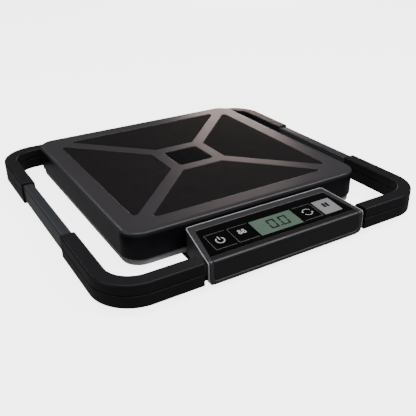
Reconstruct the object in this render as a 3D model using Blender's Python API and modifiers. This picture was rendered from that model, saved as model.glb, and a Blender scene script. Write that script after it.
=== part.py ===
"""Portable bench scale: a square weighing platform on a base tray, inside a handle frame that
ends at a display head, which slides forward out of its dock. Lengths are in metres, +Z is up,
and the floor is z = 0. The origin is under the middle of the overall footprint."""

import math

import bmesh
import bpy
from mathutils import Matrix, Vector

MM = 0.001
GAP = 0.3 * MM  # kept between pieces that touch on the real object
PAST = 1 * MM  # how far a cutter runs past the face it opens
WELL_PAST = 5 * MM  # the same where a cutter opens a whole side
CLEAR_TOP = 70 * MM  # above the whole object
WELD = 0.001 * MM
SAME_LEVEL = 0.01 * MM

# Platform and the cover's pressed top
PLATFORM = 305 * MM  # side of the square platform
PLATFORM_CORNER = 22 * MM
TOTAL_HEIGHT = 47 * MM  # floor to the platform's flat top
COVER_HEIGHT = 31.5 * MM
COVER_WALL = 1.8 * MM
COVER_TOP = 3.4 * MM
CROWN_STEPS = ((1.2 * MM, 1.1 * MM), (2.0 * MM, 0.9 * MM), (2.8 * MM, 0.5 * MM))  # inset, rise
PAD_BORDER = 23.5 * MM  # platform edge to the pads
RIB_WIDTH = 16.4 * MM  # the diagonal ribs between the pads
BADGE_SIZE = 47.5 * MM
BADGE_CORNER = 5 * MM
BADGE_RIM = 15 * MM  # badge to the pads
PAD_CORNER = 3.5 * MM
PAD_THICKNESS = 0.8 * MM
POCKET_DEPTH = 1.8 * MM
LOAD_PLATE_THICKNESS = 2 * MM
LOAD_PLATE_EDGE = 14 * MM  # cover skirt to the load plate
LOAD_PLATE_FLANGE = 8 * MM
PLATFORM_TRAVEL = 0.4 * MM
BUTTON_RADIUS = 7 * MM  # pressed feet of the load plate that meet the load cells

# Base tray, load cells and feet
TRAY_BOTTOM = 8 * MM
TRAY_FLOOR = 2 * MM
TRAY_INSET = 2 * MM  # visible band behind the cover's face
TRAY_BAND_GAP = 1.2 * MM  # cover's lower edge to the band
TRAY_LIP_INSET = 5 * MM
TRAY_LIP_HEIGHT = 9 * MM
TRAY_WALL = 2.5 * MM
CELL_LENGTH = 60 * MM
CELL_SIDE = 12 * MM
CELL_REACH = 112 * MM  # platform centre to the middle of a cell, across and along
CELL_STAND = 7 * MM
CELL_HOLE_PITCH = 14 * MM
CELL_HOLE_RADIUS = 3.84 * MM  # flexure holes across the cell
CELL_SLOT = 2 * MM
FOOT_REACH = 32.5 * MM  # platform edge to a foot's axis
FOOT_RADIUS = 13 * MM
FOOT_STEM = 3.7 * MM
FOOT_STEM_RISE = 3 * MM
FOOT_EDGE = 0.8 * MM

# Handle frame
BAR_WIDTH = 16.6 * MM
BAR_HEIGHT = 25.7 * MM
BAR_BOTTOM = 9.1 * MM
BAR_EDGE = 2.2 * MM
PARTING_HEIGHT = 13.6 * MM  # bar's underside to the line between the half shells
PARTING_CHAMFER = 0.5 * MM
SHELL_WALL = 1.6 * MM
FRAME_CORNER = 45 * MM  # outer plan radius
SIDE_GAP = 32.3 * MM  # platform to side handles
REAR_GAP = 6.4 * MM
SLEEVE_REAR = 99.5 * MM  # platform's rear edge to the rear sleeve's end
SLEEVE_FRONT = 59.5 * MM  # platform's front edge to the front sleeve's end
TUBE_INSERT = 25 * MM
TUBE_WALL = 1.2 * MM
TUBE_EDGE = 2.5 * MM
BAR_END_BLOCK = 18 * MM
BAR_SCREW_REACH = 13 * MM  # bar end to the screw through its block
RIB_THICKNESS = 9 * MM
RAIL_RIB_X = 92 * MM
LUG_WIDTH = 26 * MM
LUG_THICKNESS = 3 * MM
LUG_DROP = 1 * MM  # below the tray's underside, so that it stiffens the lug
LUG_ROOT = 8 * MM  # lap of the lug inside the tray
LUG_SETBACK = 2 * MM
LUG_CORNER = 4 * MM

# Display head
HEAD_GAP = 3 * MM  # platform to the head's back
HEAD_DEPTH = 61.5 * MM
HEAD_FRONT_HALF = 99 * MM
HEAD_BACK_HALF = 90.3 * MM
HEAD_TOP_BACK = 40.5 * MM
HEAD_TILT = math.radians(6.5)
HEAD_BOTTOM = 4.5 * MM
FRONT_ROLL = 4.4 * MM
BOTTOM_ROLL = 5 * MM
HEAD_CORNER = 3 * MM
LEAST_CORNER = 0.5 * MM
HEAD_FLOOR = 2.4 * MM
HEAD_WALL = 2 * MM
RIM = 0.7 * MM  # width of the shell's rim outside the bezel
RIM_DROP = 0.6 * MM
SKIN = 3 * MM  # thickness of the bezel and the front panel
BEZEL_COLUMN = 4.8 * MM
BEZEL_LAP = 1 * MM  # under the head, past the bottom roll
BEZEL_SIDE = 6.8 * MM
BEZEL_BACK = 9 * MM
BEZEL_FOOT = 4.5 * MM
WINDOW_CORNER = 2 * MM
PANEL_RECESS = 0.5 * MM
OVERLAY_THICKNESS = 0.8 * MM
OVERLAY_FRONT = 8.9 * MM  # head's front face to the overlay

# Keys and display, in the tilted plane of the head's top
KEY_WIDTH = 24.4 * MM
KEY_LENGTH = 25.9 * MM
KEY_SPACE = 2.8 * MM
KEY_CORNER = 1 * MM
KEY_TRAVEL = 0.6 * MM
KEY_HEIGHT = 4.4 * MM
LCD_WIDTH = 54 * MM
LCD_LENGTH = 26.4 * MM
LCD_SINK = 0.4 * MM
LCD_HEIGHT = 3.2 * MM
KEY_ROW = (  # name, place from the display's middle, finish
    ("power_key", -1.5, "black_gloss"),
    ("zero_key", -0.5, "black_gloss"),
    ("units_key", 0.5, "black_gloss"),
    ("hold_key", 1.5, "light_key"),
)
KEY_ROW_BACK = 21.1 * MM  # head's back to the keys' back edges
BOARD_DEPTH = 8 * MM
BOARD_THICKNESS = 1.6 * MM
BOARD_EDGE = 2 * MM
LCD_CONNECTOR = 38 * MM
LCD_CONNECTOR_DEPTH = 5 * MM
POST_X_INSET = 6 * MM  # board's end to a post
POST_Y_INSET = 1 * MM
SWITCH_SIDE = 6 * MM
SWITCH_CLEARANCE = 0.3 * MM
POST_RADIUS = 3 * MM

# Dock that carries the head
DOCK_GAP = 0.4 * MM
DOCK_FLOOR = 2.4 * MM
DOCK_FRONT_INSET = 14 * MM
DOCK_TAIL = 22 * MM
DOCK_SIDE_INSET = 2 * MM
DOCK_STEP_INSET = 1 * MM
DOCK_CORNER = 3 * MM
EAR_WIDTH = 13 * MM
EAR_DEPTH = 9 * MM
EAR_HEIGHT = 24 * MM
EAR_SCREW_REACH = 5.2 * MM  # bar end to the screw through the ear
BAR_SETBACK = 0.4 * MM  # head's front face to the bars' front faces
BAR_END_GAP = 4 * MM  # head's widest point to the bar ends
RUNNER_X = 50 * MM
RUNNER_WIDTH = 6 * MM
RUNNER_HEIGHT = 1.3 * MM
RUNNER_END = 3 * MM  # dock floor's edges to the runners' ends

# Batteries
CELL_AA_RADIUS = 7.1 * MM
CELL_AA_LENGTH = 49.5 * MM
CELL_AA_SPACE = 0.6 * MM  # between one cell and the next
CELL_AA_COUNT = 3
CELL_CAP_RADIUS = 2.7 * MM  # positive end
CELL_CAP_HEIGHT = 1.4 * MM
CELL_BEVEL = 0.6 * MM
BATTERY_Y = -35 * MM
BAY_WALL = 1.5 * MM
BAY_CORNER = 2 * MM
CONTACT_SPACE = 3.4 * MM
CONTACT_THICKNESS = 0.5 * MM
CONTACT_HEIGHT = 10 * MM
CONTACT_BOSS = 3.5 * MM  # radius
DOOR_THICKNESS = 1.8 * MM
DOOR_LIP = 3 * MM
DOOR_RUNNER = 2.5 * MM
DOOR_RUNNER_LIP = 1.5 * MM  # lap under the door's edge
DOOR_RUNNER_FLOOR = 1.2 * MM
DOOR_GRIP = 23 * MM
DOOR_GRIP_DEPTH = 3 * MM
DOOR_GRIP_INSET = 4 * MM
DOOR_GRIP_RISE = 1 * MM

# Summing board and data socket, inside the tray
BOARD_LOW = (30 * MM, 25 * MM)
BOARD_HIGH = (95 * MM, 70 * MM)
BOARD_LIFT = 4 * MM
BOARD_HOLE_INSET = 4 * MM
BOARD_PARTS = (  # name, place along and across, width, length and height
    ("chip", 20 * MM, 14 * MM, 12 * MM, 10 * MM, 2.4 * MM),
    ("connector", 3 * MM, 10 * MM, 8 * MM, 24 * MM, 6.5 * MM),
    ("capacitor", 44 * MM, 28 * MM, 9 * MM, 9 * MM, 8 * MM),
)
STAND_OFF_RADIUS = 3 * MM
SOCKET_Y = 60 * MM
SOCKET_WIDTH = 7.7 * MM
SOCKET_HEIGHT = 3.6 * MM
SOCKET_DEPTH = 9 * MM
SOCKET_WALL = 0.5 * MM
SOCKET_BACK = 2 * MM

# Fasteners
SCREW_RADIUS = 1.35 * MM
SCREW_HEAD = 2.8 * MM
SCREW_HEAD_HEIGHT = 1.5 * MM
SCREW_SIDES = 12
RAIL_SCREW = 19.3 * MM  # lengths under the head
BAR_SCREW = 18 * MM
EAR_SCREW = 13.5 * MM
TAIL_SCREW = 9 * MM
TUBE_SCREW = 7 * MM

# Places worked out from the sizes above, relative to the platform's centre
HALF = PLATFORM / 2
HEAD_BACK_Y = -(HALF + HEAD_GAP)
HEAD_FRONT_Y = HEAD_BACK_Y - HEAD_DEPTH
AHEAD_Y = HEAD_FRONT_Y - 10 * MM  # ahead of the whole object
BAR_FRONT_Y = HEAD_FRONT_Y + BAR_SETBACK
RAIL_REAR_Y = HALF + REAR_GAP + BAR_WIDTH
FRAME_HALF = HALF + SIDE_GAP + BAR_WIDTH
PLATFORM_Y = -(HEAD_FRONT_Y + RAIL_REAR_Y) / 2
SKIRT_BOTTOM = TOTAL_HEIGHT - COVER_HEIGHT
TRAY_TOP = TRAY_BOTTOM + TRAY_FLOOR
BAR_TOP = BAR_BOTTOM + BAR_HEIGHT
PARTING_Z = BAR_BOTTOM + PARTING_HEIGHT
SLEEVE_REAR_Y = HALF - SLEEVE_REAR
SLEEVE_FRONT_Y = -(HALF - SLEEVE_FRONT)
BAR_END_X = HEAD_FRONT_HALF + BAR_END_GAP
CELL_BOTTOM = TRAY_TOP + CELL_STAND + GAP
CELL_TOP = CELL_BOTTOM + CELL_SIDE
LOAD_PLATE_TOP = TOTAL_HEIGHT - COVER_TOP - GAP
DOCK_TOP = HEAD_BOTTOM - DOCK_GAP
DOCK_BOTTOM = DOCK_TOP - DOCK_FLOOR
SCREW_HOLE = SCREW_RADIUS + GAP
CELL_AA_PITCH = 2 * CELL_AA_RADIUS + CELL_AA_SPACE
BAY_HALF = CELL_AA_PITCH * CELL_AA_COUNT / 2 + GAP
BAY_LENGTH_HALF = CELL_AA_LENGTH / 2 + CONTACT_SPACE
BAY_CEILING = TRAY_TOP + 2 * CELL_AA_RADIUS + GAP


def clear_scene():
    for old in list(bpy.data.objects):
        bpy.data.objects.remove(old, do_unlink=True)
    for old in list(bpy.data.collections):
        bpy.data.collections.remove(old)


clear_scene()
PARTS = bpy.data.collections.new("bench_scale")
CUTTERS = bpy.data.collections.new("cutters")
for group in (PARTS, CUTTERS):
    bpy.context.scene.collection.children.link(group)


def empty(name, at=(0, 0, 0), parent=None, tilt=0.0):
    frame = bpy.data.objects.new(name, None)
    frame.location = at
    frame.rotation_euler = (tilt, 0, 0)
    frame.parent = parent
    frame.empty_display_size = 0.02
    PARTS.objects.link(frame)
    return frame


MATERIALS = {}


def material(name, colour, roughness, metallic=0.0):
    made = bpy.data.materials.new(name)
    made.use_nodes = True
    shader = made.node_tree.nodes["Principled BSDF"]
    shader.inputs["Base Color"].default_value = (*colour, 1)
    shader.inputs["Roughness"].default_value = roughness
    shader.inputs["Metallic"].default_value = metallic
    MATERIALS[name] = made


material("satin_charcoal", (0.055, 0.05, 0.053), 0.38)
material("ribbed_rubber", (0.016, 0.014, 0.015), 0.7)
material("black_gloss", (0.004, 0.005, 0.004), 0.12)
material("black_moulding", (0.012, 0.011, 0.013), 0.42)
material("grey_tube", (0.042, 0.046, 0.05), 0.35, 0.4)
material("tray_grey", (0.5, 0.5, 0.52), 0.4)
material("bezel_grey", (0.09, 0.09, 0.092), 0.3, 0.3)
material("display_glass", (0.2, 0.29, 0.25), 0.2)
material("light_key", (0.46, 0.46, 0.47), 0.35)
material("zinc_steel", (0.5, 0.5, 0.5), 0.35, 1.0)
material("aluminium", (0.6, 0.6, 0.6), 0.4, 1.0)
material("foot_rubber", (0.02, 0.02, 0.02), 0.8)
material("circuit_board", (0.02, 0.11, 0.05), 0.5)
material("cell_jacket", (0.05, 0.09, 0.2), 0.3)


def finish(obj, finish_name, parent, smooth=True):
    """Makes a mesh object a sub-part: its material, its parent and its collection."""
    if finish_name is None:
        obj.hide_render = True
        obj.display_type = "WIRE"
    else:
        obj.data.materials.append(MATERIALS[finish_name])
        if smooth:
            obj.data.shade_smooth()
            obj.data.set_sharp_from_angle(angle=math.radians(35))
    obj.parent = parent
    (CUTTERS if finish_name is None else PARTS).objects.link(obj)
    return obj


def solid(name, bm, finish_name, parent, at=(0, 0, 0)):
    bmesh.ops.recalc_face_normals(bm, faces=bm.faces)
    mesh = bpy.data.meshes.new(name)
    bm.to_mesh(mesh)
    bm.free()
    obj = bpy.data.objects.new(name, mesh)
    obj.location = at
    return finish(obj, finish_name, parent)


def along_edges(bm, axis):
    """The edges that run along one axis."""
    chosen = []
    for edge in bm.edges:
        run = (edge.verts[1].co - edge.verts[0].co).normalized()
        if abs(run[axis]) > 0.999:
            chosen.append(edge)
    return chosen


def level_edges(bm, axis, value):
    """The edges whose two ends lie at one value of one axis."""
    near = lambda vert: abs(vert.co[axis] - value) < SAME_LEVEL
    return [edge for edge in bm.edges if near(edge.verts[0]) and near(edge.verts[1])]


def round_edges(bm, edges, radius, steps):
    bmesh.ops.bevel(
        bm, geom=edges, offset=radius, segments=steps, profile=0.5, affect="EDGES", clamp_overlap=True
    )


def box_mesh(low, high):
    bm = bmesh.new()
    bmesh.ops.create_cube(bm, size=1)
    low, high = Vector(low), Vector(high)
    size = high - low
    bmesh.ops.scale(bm, vec=size, verts=bm.verts)
    bmesh.ops.translate(bm, vec=(low + high) / 2, verts=bm.verts)
    return bm


def box(name, low, high, finish_name=None, parent=None, corner=0.0, axis=2, steps=4, at=(0, 0, 0)):
    """A block between two corners, with its edges along one axis rounded."""
    bm = box_mesh(low, high)
    if corner:
        round_edges(bm, along_edges(bm, axis), corner, steps)
    return solid(name, bm, finish_name, parent, at)


def cylinder(name, radius, low, high, at, finish_name=None, parent=None, axis="Z", sides=16):
    """A cylinder along Z or Y between two values of that axis, placed by at."""
    bm = bmesh.new()
    bmesh.ops.create_cone(
        bm, cap_ends=True, segments=sides, radius1=radius, radius2=radius, depth=high - low
    )
    bmesh.ops.translate(bm, vec=(0, 0, (low + high) / 2), verts=bm.verts)
    if axis == "Y":
        bmesh.ops.rotate(bm, matrix=Matrix.Rotation(-math.pi / 2, 3, "X"), verts=bm.verts)
    return solid(name, bm, finish_name, parent, at)


def rounded(corners, steps=8):
    """A closed outline through (x, y, radius) corners, with an arc at each rounded one."""
    points = []
    for i, (x, y, radius) in enumerate(corners):
        here = Vector((x, y))
        if not radius:
            points.append((x, y))
            continue
        back = (Vector(corners[i - 1][:2]) - here).normalized()
        ahead = (Vector(corners[(i + 1) % len(corners)][:2]) - here).normalized()
        half_angle = back.angle(ahead) / 2
        centre = here + (back + ahead).normalized() * (radius / math.sin(half_angle))
        first = here + back * (radius / math.tan(half_angle)) - centre
        last = here + ahead * (radius / math.tan(half_angle)) - centre
        start = math.atan2(first.y, first.x)
        sweep = math.atan2(first.x * last.y - first.y * last.x, first.dot(last))
        for step in range(steps + 1):
            turn = start + sweep * step / steps
            points.append((centre.x + radius * math.cos(turn), centre.y + radius * math.sin(turn)))
    return points


def outline_mesh(points, low, high):
    """A flat outline made a solid between two heights, as one closed bmesh."""
    curve = bpy.data.curves.new("outline", "CURVE")
    curve.dimensions = "2D"
    curve.fill_mode = "BOTH"
    curve.extrude = (high - low) / 2
    line = curve.splines.new("POLY")
    line.points.add(len(points) - 1)
    for point, (x, y) in zip(line.points, points):
        point.co = (x, y, 0, 1)
    line.use_cyclic_u = True
    guide = bpy.data.objects.new("outline", curve)
    bpy.context.scene.collection.objects.link(guide)
    graph = bpy.context.evaluated_depsgraph_get()
    mesh = bpy.data.meshes.new_from_object(guide.evaluated_get(graph))
    bm = bmesh.new()
    bm.from_mesh(mesh)
    bpy.data.objects.remove(guide)
    bmesh.ops.remove_doubles(bm, verts=bm.verts, dist=WELD)
    bmesh.ops.dissolve_limit(
        bm, angle_limit=math.radians(0.05), verts=bm.verts, edges=bm.edges, use_dissolve_boundaries=False
    )
    bmesh.ops.translate(bm, vec=(0, 0, (low + high) / 2), verts=bm.verts)
    bmesh.ops.recalc_face_normals(bm, faces=bm.faces)
    return bm


def plate(name, points, low, high, finish_name=None, parent=None, top_edge=0.0, edge_steps=2):
    bm = outline_mesh(points, low, high)
    if top_edge:
        round_edges(bm, level_edges(bm, 2, high), top_edge, edge_steps)
    return solid(name, bm, finish_name, parent)


def side_plate(name, points, half_width, finish_name=None, parent=None):
    """An outline in the YZ plane made a solid across X."""
    bm = outline_mesh(points, -half_width, half_width)
    across = Matrix(((0, 0, 1, 0), (1, 0, 0, 0), (0, 1, 0, 0), (0, 0, 0, 1)))
    bmesh.ops.transform(bm, matrix=across, verts=bm.verts)
    return solid(name, bm, finish_name, parent)


def boolean(obj, tool, operation):
    modifier = obj.modifiers.new(f"{operation.lower()}_{tool.name}", "BOOLEAN")
    modifier.operation = operation
    modifier.object = tool
    modifier.solver = "EXACT"


def cut(obj, *tools):
    for tool in tools:
        boolean(obj, tool, "DIFFERENCE")


def join(obj, *tools):
    for tool in tools:
        boolean(obj, tool, "UNION")


def keep_within(obj, tool):
    boolean(obj, tool, "INTERSECT")


def turned(name, profile, finish_name, parent, at=(0, 0, 0), tilt=(0, 0, 0), sides=16):
    """A turned piece: the profile runs from the axis at the top, down its outer side, to the axis."""
    mesh = bpy.data.meshes.new(name)
    bm = bmesh.new()
    verts = [bm.verts.new((x, 0, z)) for x, z in profile]
    for first, second in zip(verts, verts[1:]):
        bm.edges.new((first, second))
    bm.to_mesh(mesh)
    bm.free()
    obj = bpy.data.objects.new(name, mesh)
    obj.location = at
    obj.rotation_euler = tilt
    spin = obj.modifiers.new("turn", "SCREW")
    spin.steps = spin.render_steps = sides
    spin.use_merge_vertices = True
    spin.merge_threshold = WELD
    spin.use_smooth_shade = False
    return finish(obj, finish_name, parent, smooth=False)


def screw(name, at, length, tilt=(0, 0, 0), parent=None):
    """A pan-head screw whose head sits at its origin and whose shank runs along +Z."""
    profile = (
        (0, length),
        (SCREW_RADIUS * 0.6, length),
        (SCREW_RADIUS, length - SCREW_RADIUS),
        (SCREW_RADIUS, 0),
        (SCREW_HEAD, 0),
        (SCREW_HEAD, -SCREW_HEAD_HEIGHT * 0.6),
        (SCREW_HEAD * 0.7, -SCREW_HEAD_HEIGHT),
        (0, -SCREW_HEAD_HEIGHT),
    )
    return turned(name, profile, "zinc_steel", parent, at, tilt, sides=SCREW_SIDES)


SIDES = (("left", -1), ("right", 1))
CORNERS = tuple((f"{y}_{x}", sx, sy) for y, sy in (("front", -1), ("rear", 1)) for x, sx in SIDES)
SCALE = empty("scale_centre", (0, PLATFORM_Y, 0))


# ---- Platform: cover, pads, badge and load plate ----


def pad_outline(shrink, turn):
    """One trapezoid between the ribs, opening towards -Y and then turned about the centre."""
    inner = BADGE_SIZE / 2 + BADGE_RIM + shrink
    outer = HALF - PAD_BORDER - shrink
    offset = RIB_WIDTH / math.sqrt(2) + shrink * math.sqrt(2)
    corners = (
        (-(inner - offset), -inner, PAD_CORNER),
        (-(outer - offset), -outer, PAD_CORNER),
        (outer - offset, -outer, PAD_CORNER),
        (inner - offset, -inner, PAD_CORNER),
    )
    spin = Matrix.Rotation(turn, 2)
    return [tuple(spin @ Vector(point)) for point in rounded(corners, 4)]


def square_outline(half, corner, steps=6):
    return rounded([(sx * half, sy * half, corner) for sx, sy in ((-1, -1), (1, -1), (1, 1), (-1, 1))], steps)


def build_platform():
    slide = empty("platform_slide", (0, 0, 0), SCALE)
    crown = sum(rise for _, rise in CROWN_STEPS)
    bm = outline_mesh(square_outline(HALF, PLATFORM_CORNER), SKIRT_BOTTOM, TOTAL_HEIGHT - crown)
    top = max(bm.faces, key=lambda face: face.calc_center_median().z)
    for inset, rise in CROWN_STEPS:
        bmesh.ops.inset_region(bm, faces=[top], thickness=inset, depth=rise, use_even_offset=True)
    cover = solid("platform_cover", bm, "satin_charcoal", slide)
    inner_corner = PLATFORM_CORNER - COVER_WALL
    hollow = square_outline(HALF - COVER_WALL, inner_corner)
    cut(cover, plate("cover_hollow", hollow, 0, TOTAL_HEIGHT - COVER_TOP, None, slide))
    floor = TOTAL_HEIGHT - POCKET_DEPTH
    for name, turn in (("front", 0), ("right", 90), ("rear", 180), ("left", 270)):
        turn = math.radians(turn)
        cut(cover, plate(f"pocket_{name}", pad_outline(0, turn), floor, TOTAL_HEIGHT + PAST, None, slide))
        low = floor + GAP
        plate(
            f"platform_pad_{name}", pad_outline(GAP, turn), low, low + PAD_THICKNESS, "ribbed_rubber", slide
        )
    badge_pocket = square_outline(BADGE_SIZE / 2, BADGE_CORNER)
    cut(cover, plate("pocket_badge", badge_pocket, floor, TOTAL_HEIGHT + PAST, None, slide))
    badge = square_outline(BADGE_SIZE / 2 - GAP, BADGE_CORNER - GAP)
    plate("centre_badge", badge, floor + GAP, floor + GAP + PAD_THICKNESS, "black_gloss", slide)

    half = HALF - LOAD_PLATE_EDGE
    low = LOAD_PLATE_TOP - LOAD_PLATE_FLANGE
    load = plate(
        "load_plate", square_outline(half, PLATFORM_CORNER / 2, 3), low, LOAD_PLATE_TOP, "zinc_steel", slide
    )
    wall = LOAD_PLATE_THICKNESS
    inside = square_outline(half - wall, PLATFORM_CORNER / 2 - wall, 3)
    cut(load, plate("load_plate_hollow", inside, low - PAST, LOAD_PLATE_TOP - wall, None, slide))
    for name, sx, sy in CORNERS:
        button = cylinder(
            f"button_{name}",
            BUTTON_RADIUS,
            CELL_TOP + PLATFORM_TRAVEL + GAP,
            LOAD_PLATE_TOP - wall / 2,
            (sx * (CELL_REACH + CELL_LENGTH / 2 - CELL_SIDE), sy * CELL_REACH, 0),
            parent=slide,
        )
        join(load, button)


# ---- Base: tray, load cells, feet, board and socket ----


def build_tray():
    band_top = SKIRT_BOTTOM - TRAY_BAND_GAP
    band = HALF - TRAY_INSET
    corner = PLATFORM_CORNER - TRAY_INSET
    tray = plate("base_tray", square_outline(band, corner), TRAY_BOTTOM, band_top, "tray_grey", SCALE)
    lip = HALF - TRAY_LIP_INSET
    lip_corner = PLATFORM_CORNER - TRAY_LIP_INSET
    lip_outline = square_outline(lip, lip_corner)
    join(tray, plate("tray_lip", lip_outline, TRAY_TOP, band_top + TRAY_LIP_HEIGHT, None, SCALE))
    inner = lip - TRAY_WALL
    hollow = square_outline(inner, lip_corner - TRAY_WALL)
    cut(tray, plate("tray_hollow", hollow, TRAY_TOP, TOTAL_HEIGHT, None, SCALE))
    for name, sx, sy in CORNERS:
        x, y = sx * (CELL_REACH - CELL_LENGTH / 2 + CELL_SIDE), sy * CELL_REACH
        stand = box(
            f"cell_stand_{name}",
            (x - CELL_SIDE, y - CELL_SIDE / 2, TRAY_BOTTOM + TRAY_FLOOR / 2),
            (x + CELL_SIDE, y + CELL_SIDE / 2, TRAY_TOP + CELL_STAND),
            parent=SCALE,
        )
        join(tray, stand)
        stand_hole = cylinder(
            f"stand_hole_{name}", SCREW_HOLE, TRAY_BOTTOM - PAST, CELL_BOTTOM, (x, y, 0), parent=SCALE
        )
        cut(tray, stand_hole)
        foot_x, foot_y = sx * (HALF - FOOT_REACH), sy * (HALF - FOOT_REACH)
        foot_hole = cylinder(
            f"foot_hole_{name}",
            FOOT_STEM + GAP,
            TRAY_BOTTOM - PAST,
            TRAY_TOP + PAST,
            (foot_x, foot_y, 0),
            parent=SCALE,
        )
        cut(tray, foot_hole)
        build_foot(name, foot_x, foot_y)
        build_load_cell(name, sx, sy)
        screw(f"cell_screw_{name}", (x, y, CELL_TOP + GAP), CELL_SIDE + CELL_STAND, (math.pi, 0, 0), SCALE)
    build_lugs(tray)
    build_bay(tray)
    build_board(tray)
    build_socket(tray)
    tail_y = -HALF + DOCK_TAIL / 2
    for name, side in SIDES:
        x = side * RUNNER_X
        tail_hole = cylinder(
            f"tail_hole_{name}", SCREW_HOLE, TRAY_BOTTOM - PAST, TRAY_TOP + PAST, (x, tail_y, 0), parent=SCALE
        )
        cut(tray, tail_hole)


def build_foot(name, x, y):
    seat = TRAY_BOTTOM - GAP
    stem_top = TRAY_TOP + FOOT_STEM_RISE
    profile = (
        (0, stem_top),
        (FOOT_STEM - FOOT_EDGE, stem_top),
        (FOOT_STEM, stem_top - FOOT_EDGE),
        (FOOT_STEM, seat),
        (FOOT_RADIUS - 2 * FOOT_EDGE, seat),
        (FOOT_RADIUS, seat - 2 * FOOT_EDGE),
        (FOOT_RADIUS - FOOT_EDGE, FOOT_EDGE),
        (FOOT_RADIUS - 2 * FOOT_EDGE, 0),
        (0, 0),
    )
    turned(f"foot_{name}", profile, "foot_rubber", SCALE, (x, y, 0), sides=20)


def build_load_cell(name, sx, sy):
    x, y = sx * CELL_REACH, sy * CELL_REACH
    half = CELL_LENGTH / 2
    low = (x - half, y - CELL_SIDE / 2, CELL_BOTTOM)
    high = (x + half, y + CELL_SIDE / 2, CELL_TOP)
    cell = box(f"load_cell_{name}", low, high, "aluminium", SCALE)
    middle = CELL_BOTTOM + CELL_SIDE / 2
    reach = CELL_SIDE / 2 + PAST
    for side in (-1, 1):
        at = (x + side * CELL_HOLE_PITCH / 2, y, middle)
        flexure = cylinder(
            f"flexure_{name}_{side}",
            CELL_HOLE_RADIUS,
            -reach,
            reach,
            at,
            parent=SCALE,
            axis="Y",
            sides=SCREW_SIDES,
        )
        cut(cell, flexure)
    slot = box(
        f"flexure_slot_{name}",
        (x - CELL_HOLE_PITCH / 2, y - reach, middle - CELL_SLOT / 2),
        (x + CELL_HOLE_PITCH / 2, y + reach, middle + CELL_SLOT / 2),
        parent=SCALE,
    )
    cut(cell, slot)
    hole_x = sx * (CELL_REACH - half + CELL_SIDE)
    cell_hole = cylinder(
        f"cell_hole_{name}", SCREW_HOLE, CELL_BOTTOM - PAST, CELL_TOP + PAST, (hole_x, y, 0), parent=SCALE
    )
    cut(cell, cell_hole)


def build_lugs(tray):
    """Two lugs that reach back from the tray under the rear rail and carry it."""
    top = BAR_BOTTOM - GAP
    seat = TRAY_TOP - LUG_THICKNESS - LUG_DROP
    root_y = HALF - TRAY_LIP_INSET - TRAY_WALL - LUG_ROOT
    y = RAIL_REAR_Y - BAR_WIDTH / 2
    for name, side in SIDES:
        x = side * RAIL_RIB_X
        strap = box(
            f"lug_{name}",
            (x - LUG_WIDTH / 2, root_y, seat),
            (x + LUG_WIDTH / 2, RAIL_REAR_Y - LUG_SETBACK, top),
            parent=SCALE,
            corner=LUG_CORNER,
            steps=3,
        )
        join(tray, strap)
        cut(tray, cylinder(f"lug_hole_{name}", SCREW_HOLE, 0, BAR_BOTTOM, (x, y, 0), parent=SCALE))
        screw(f"rail_screw_{name}", (x, y, seat - GAP), RAIL_SCREW, parent=SCALE)


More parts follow.
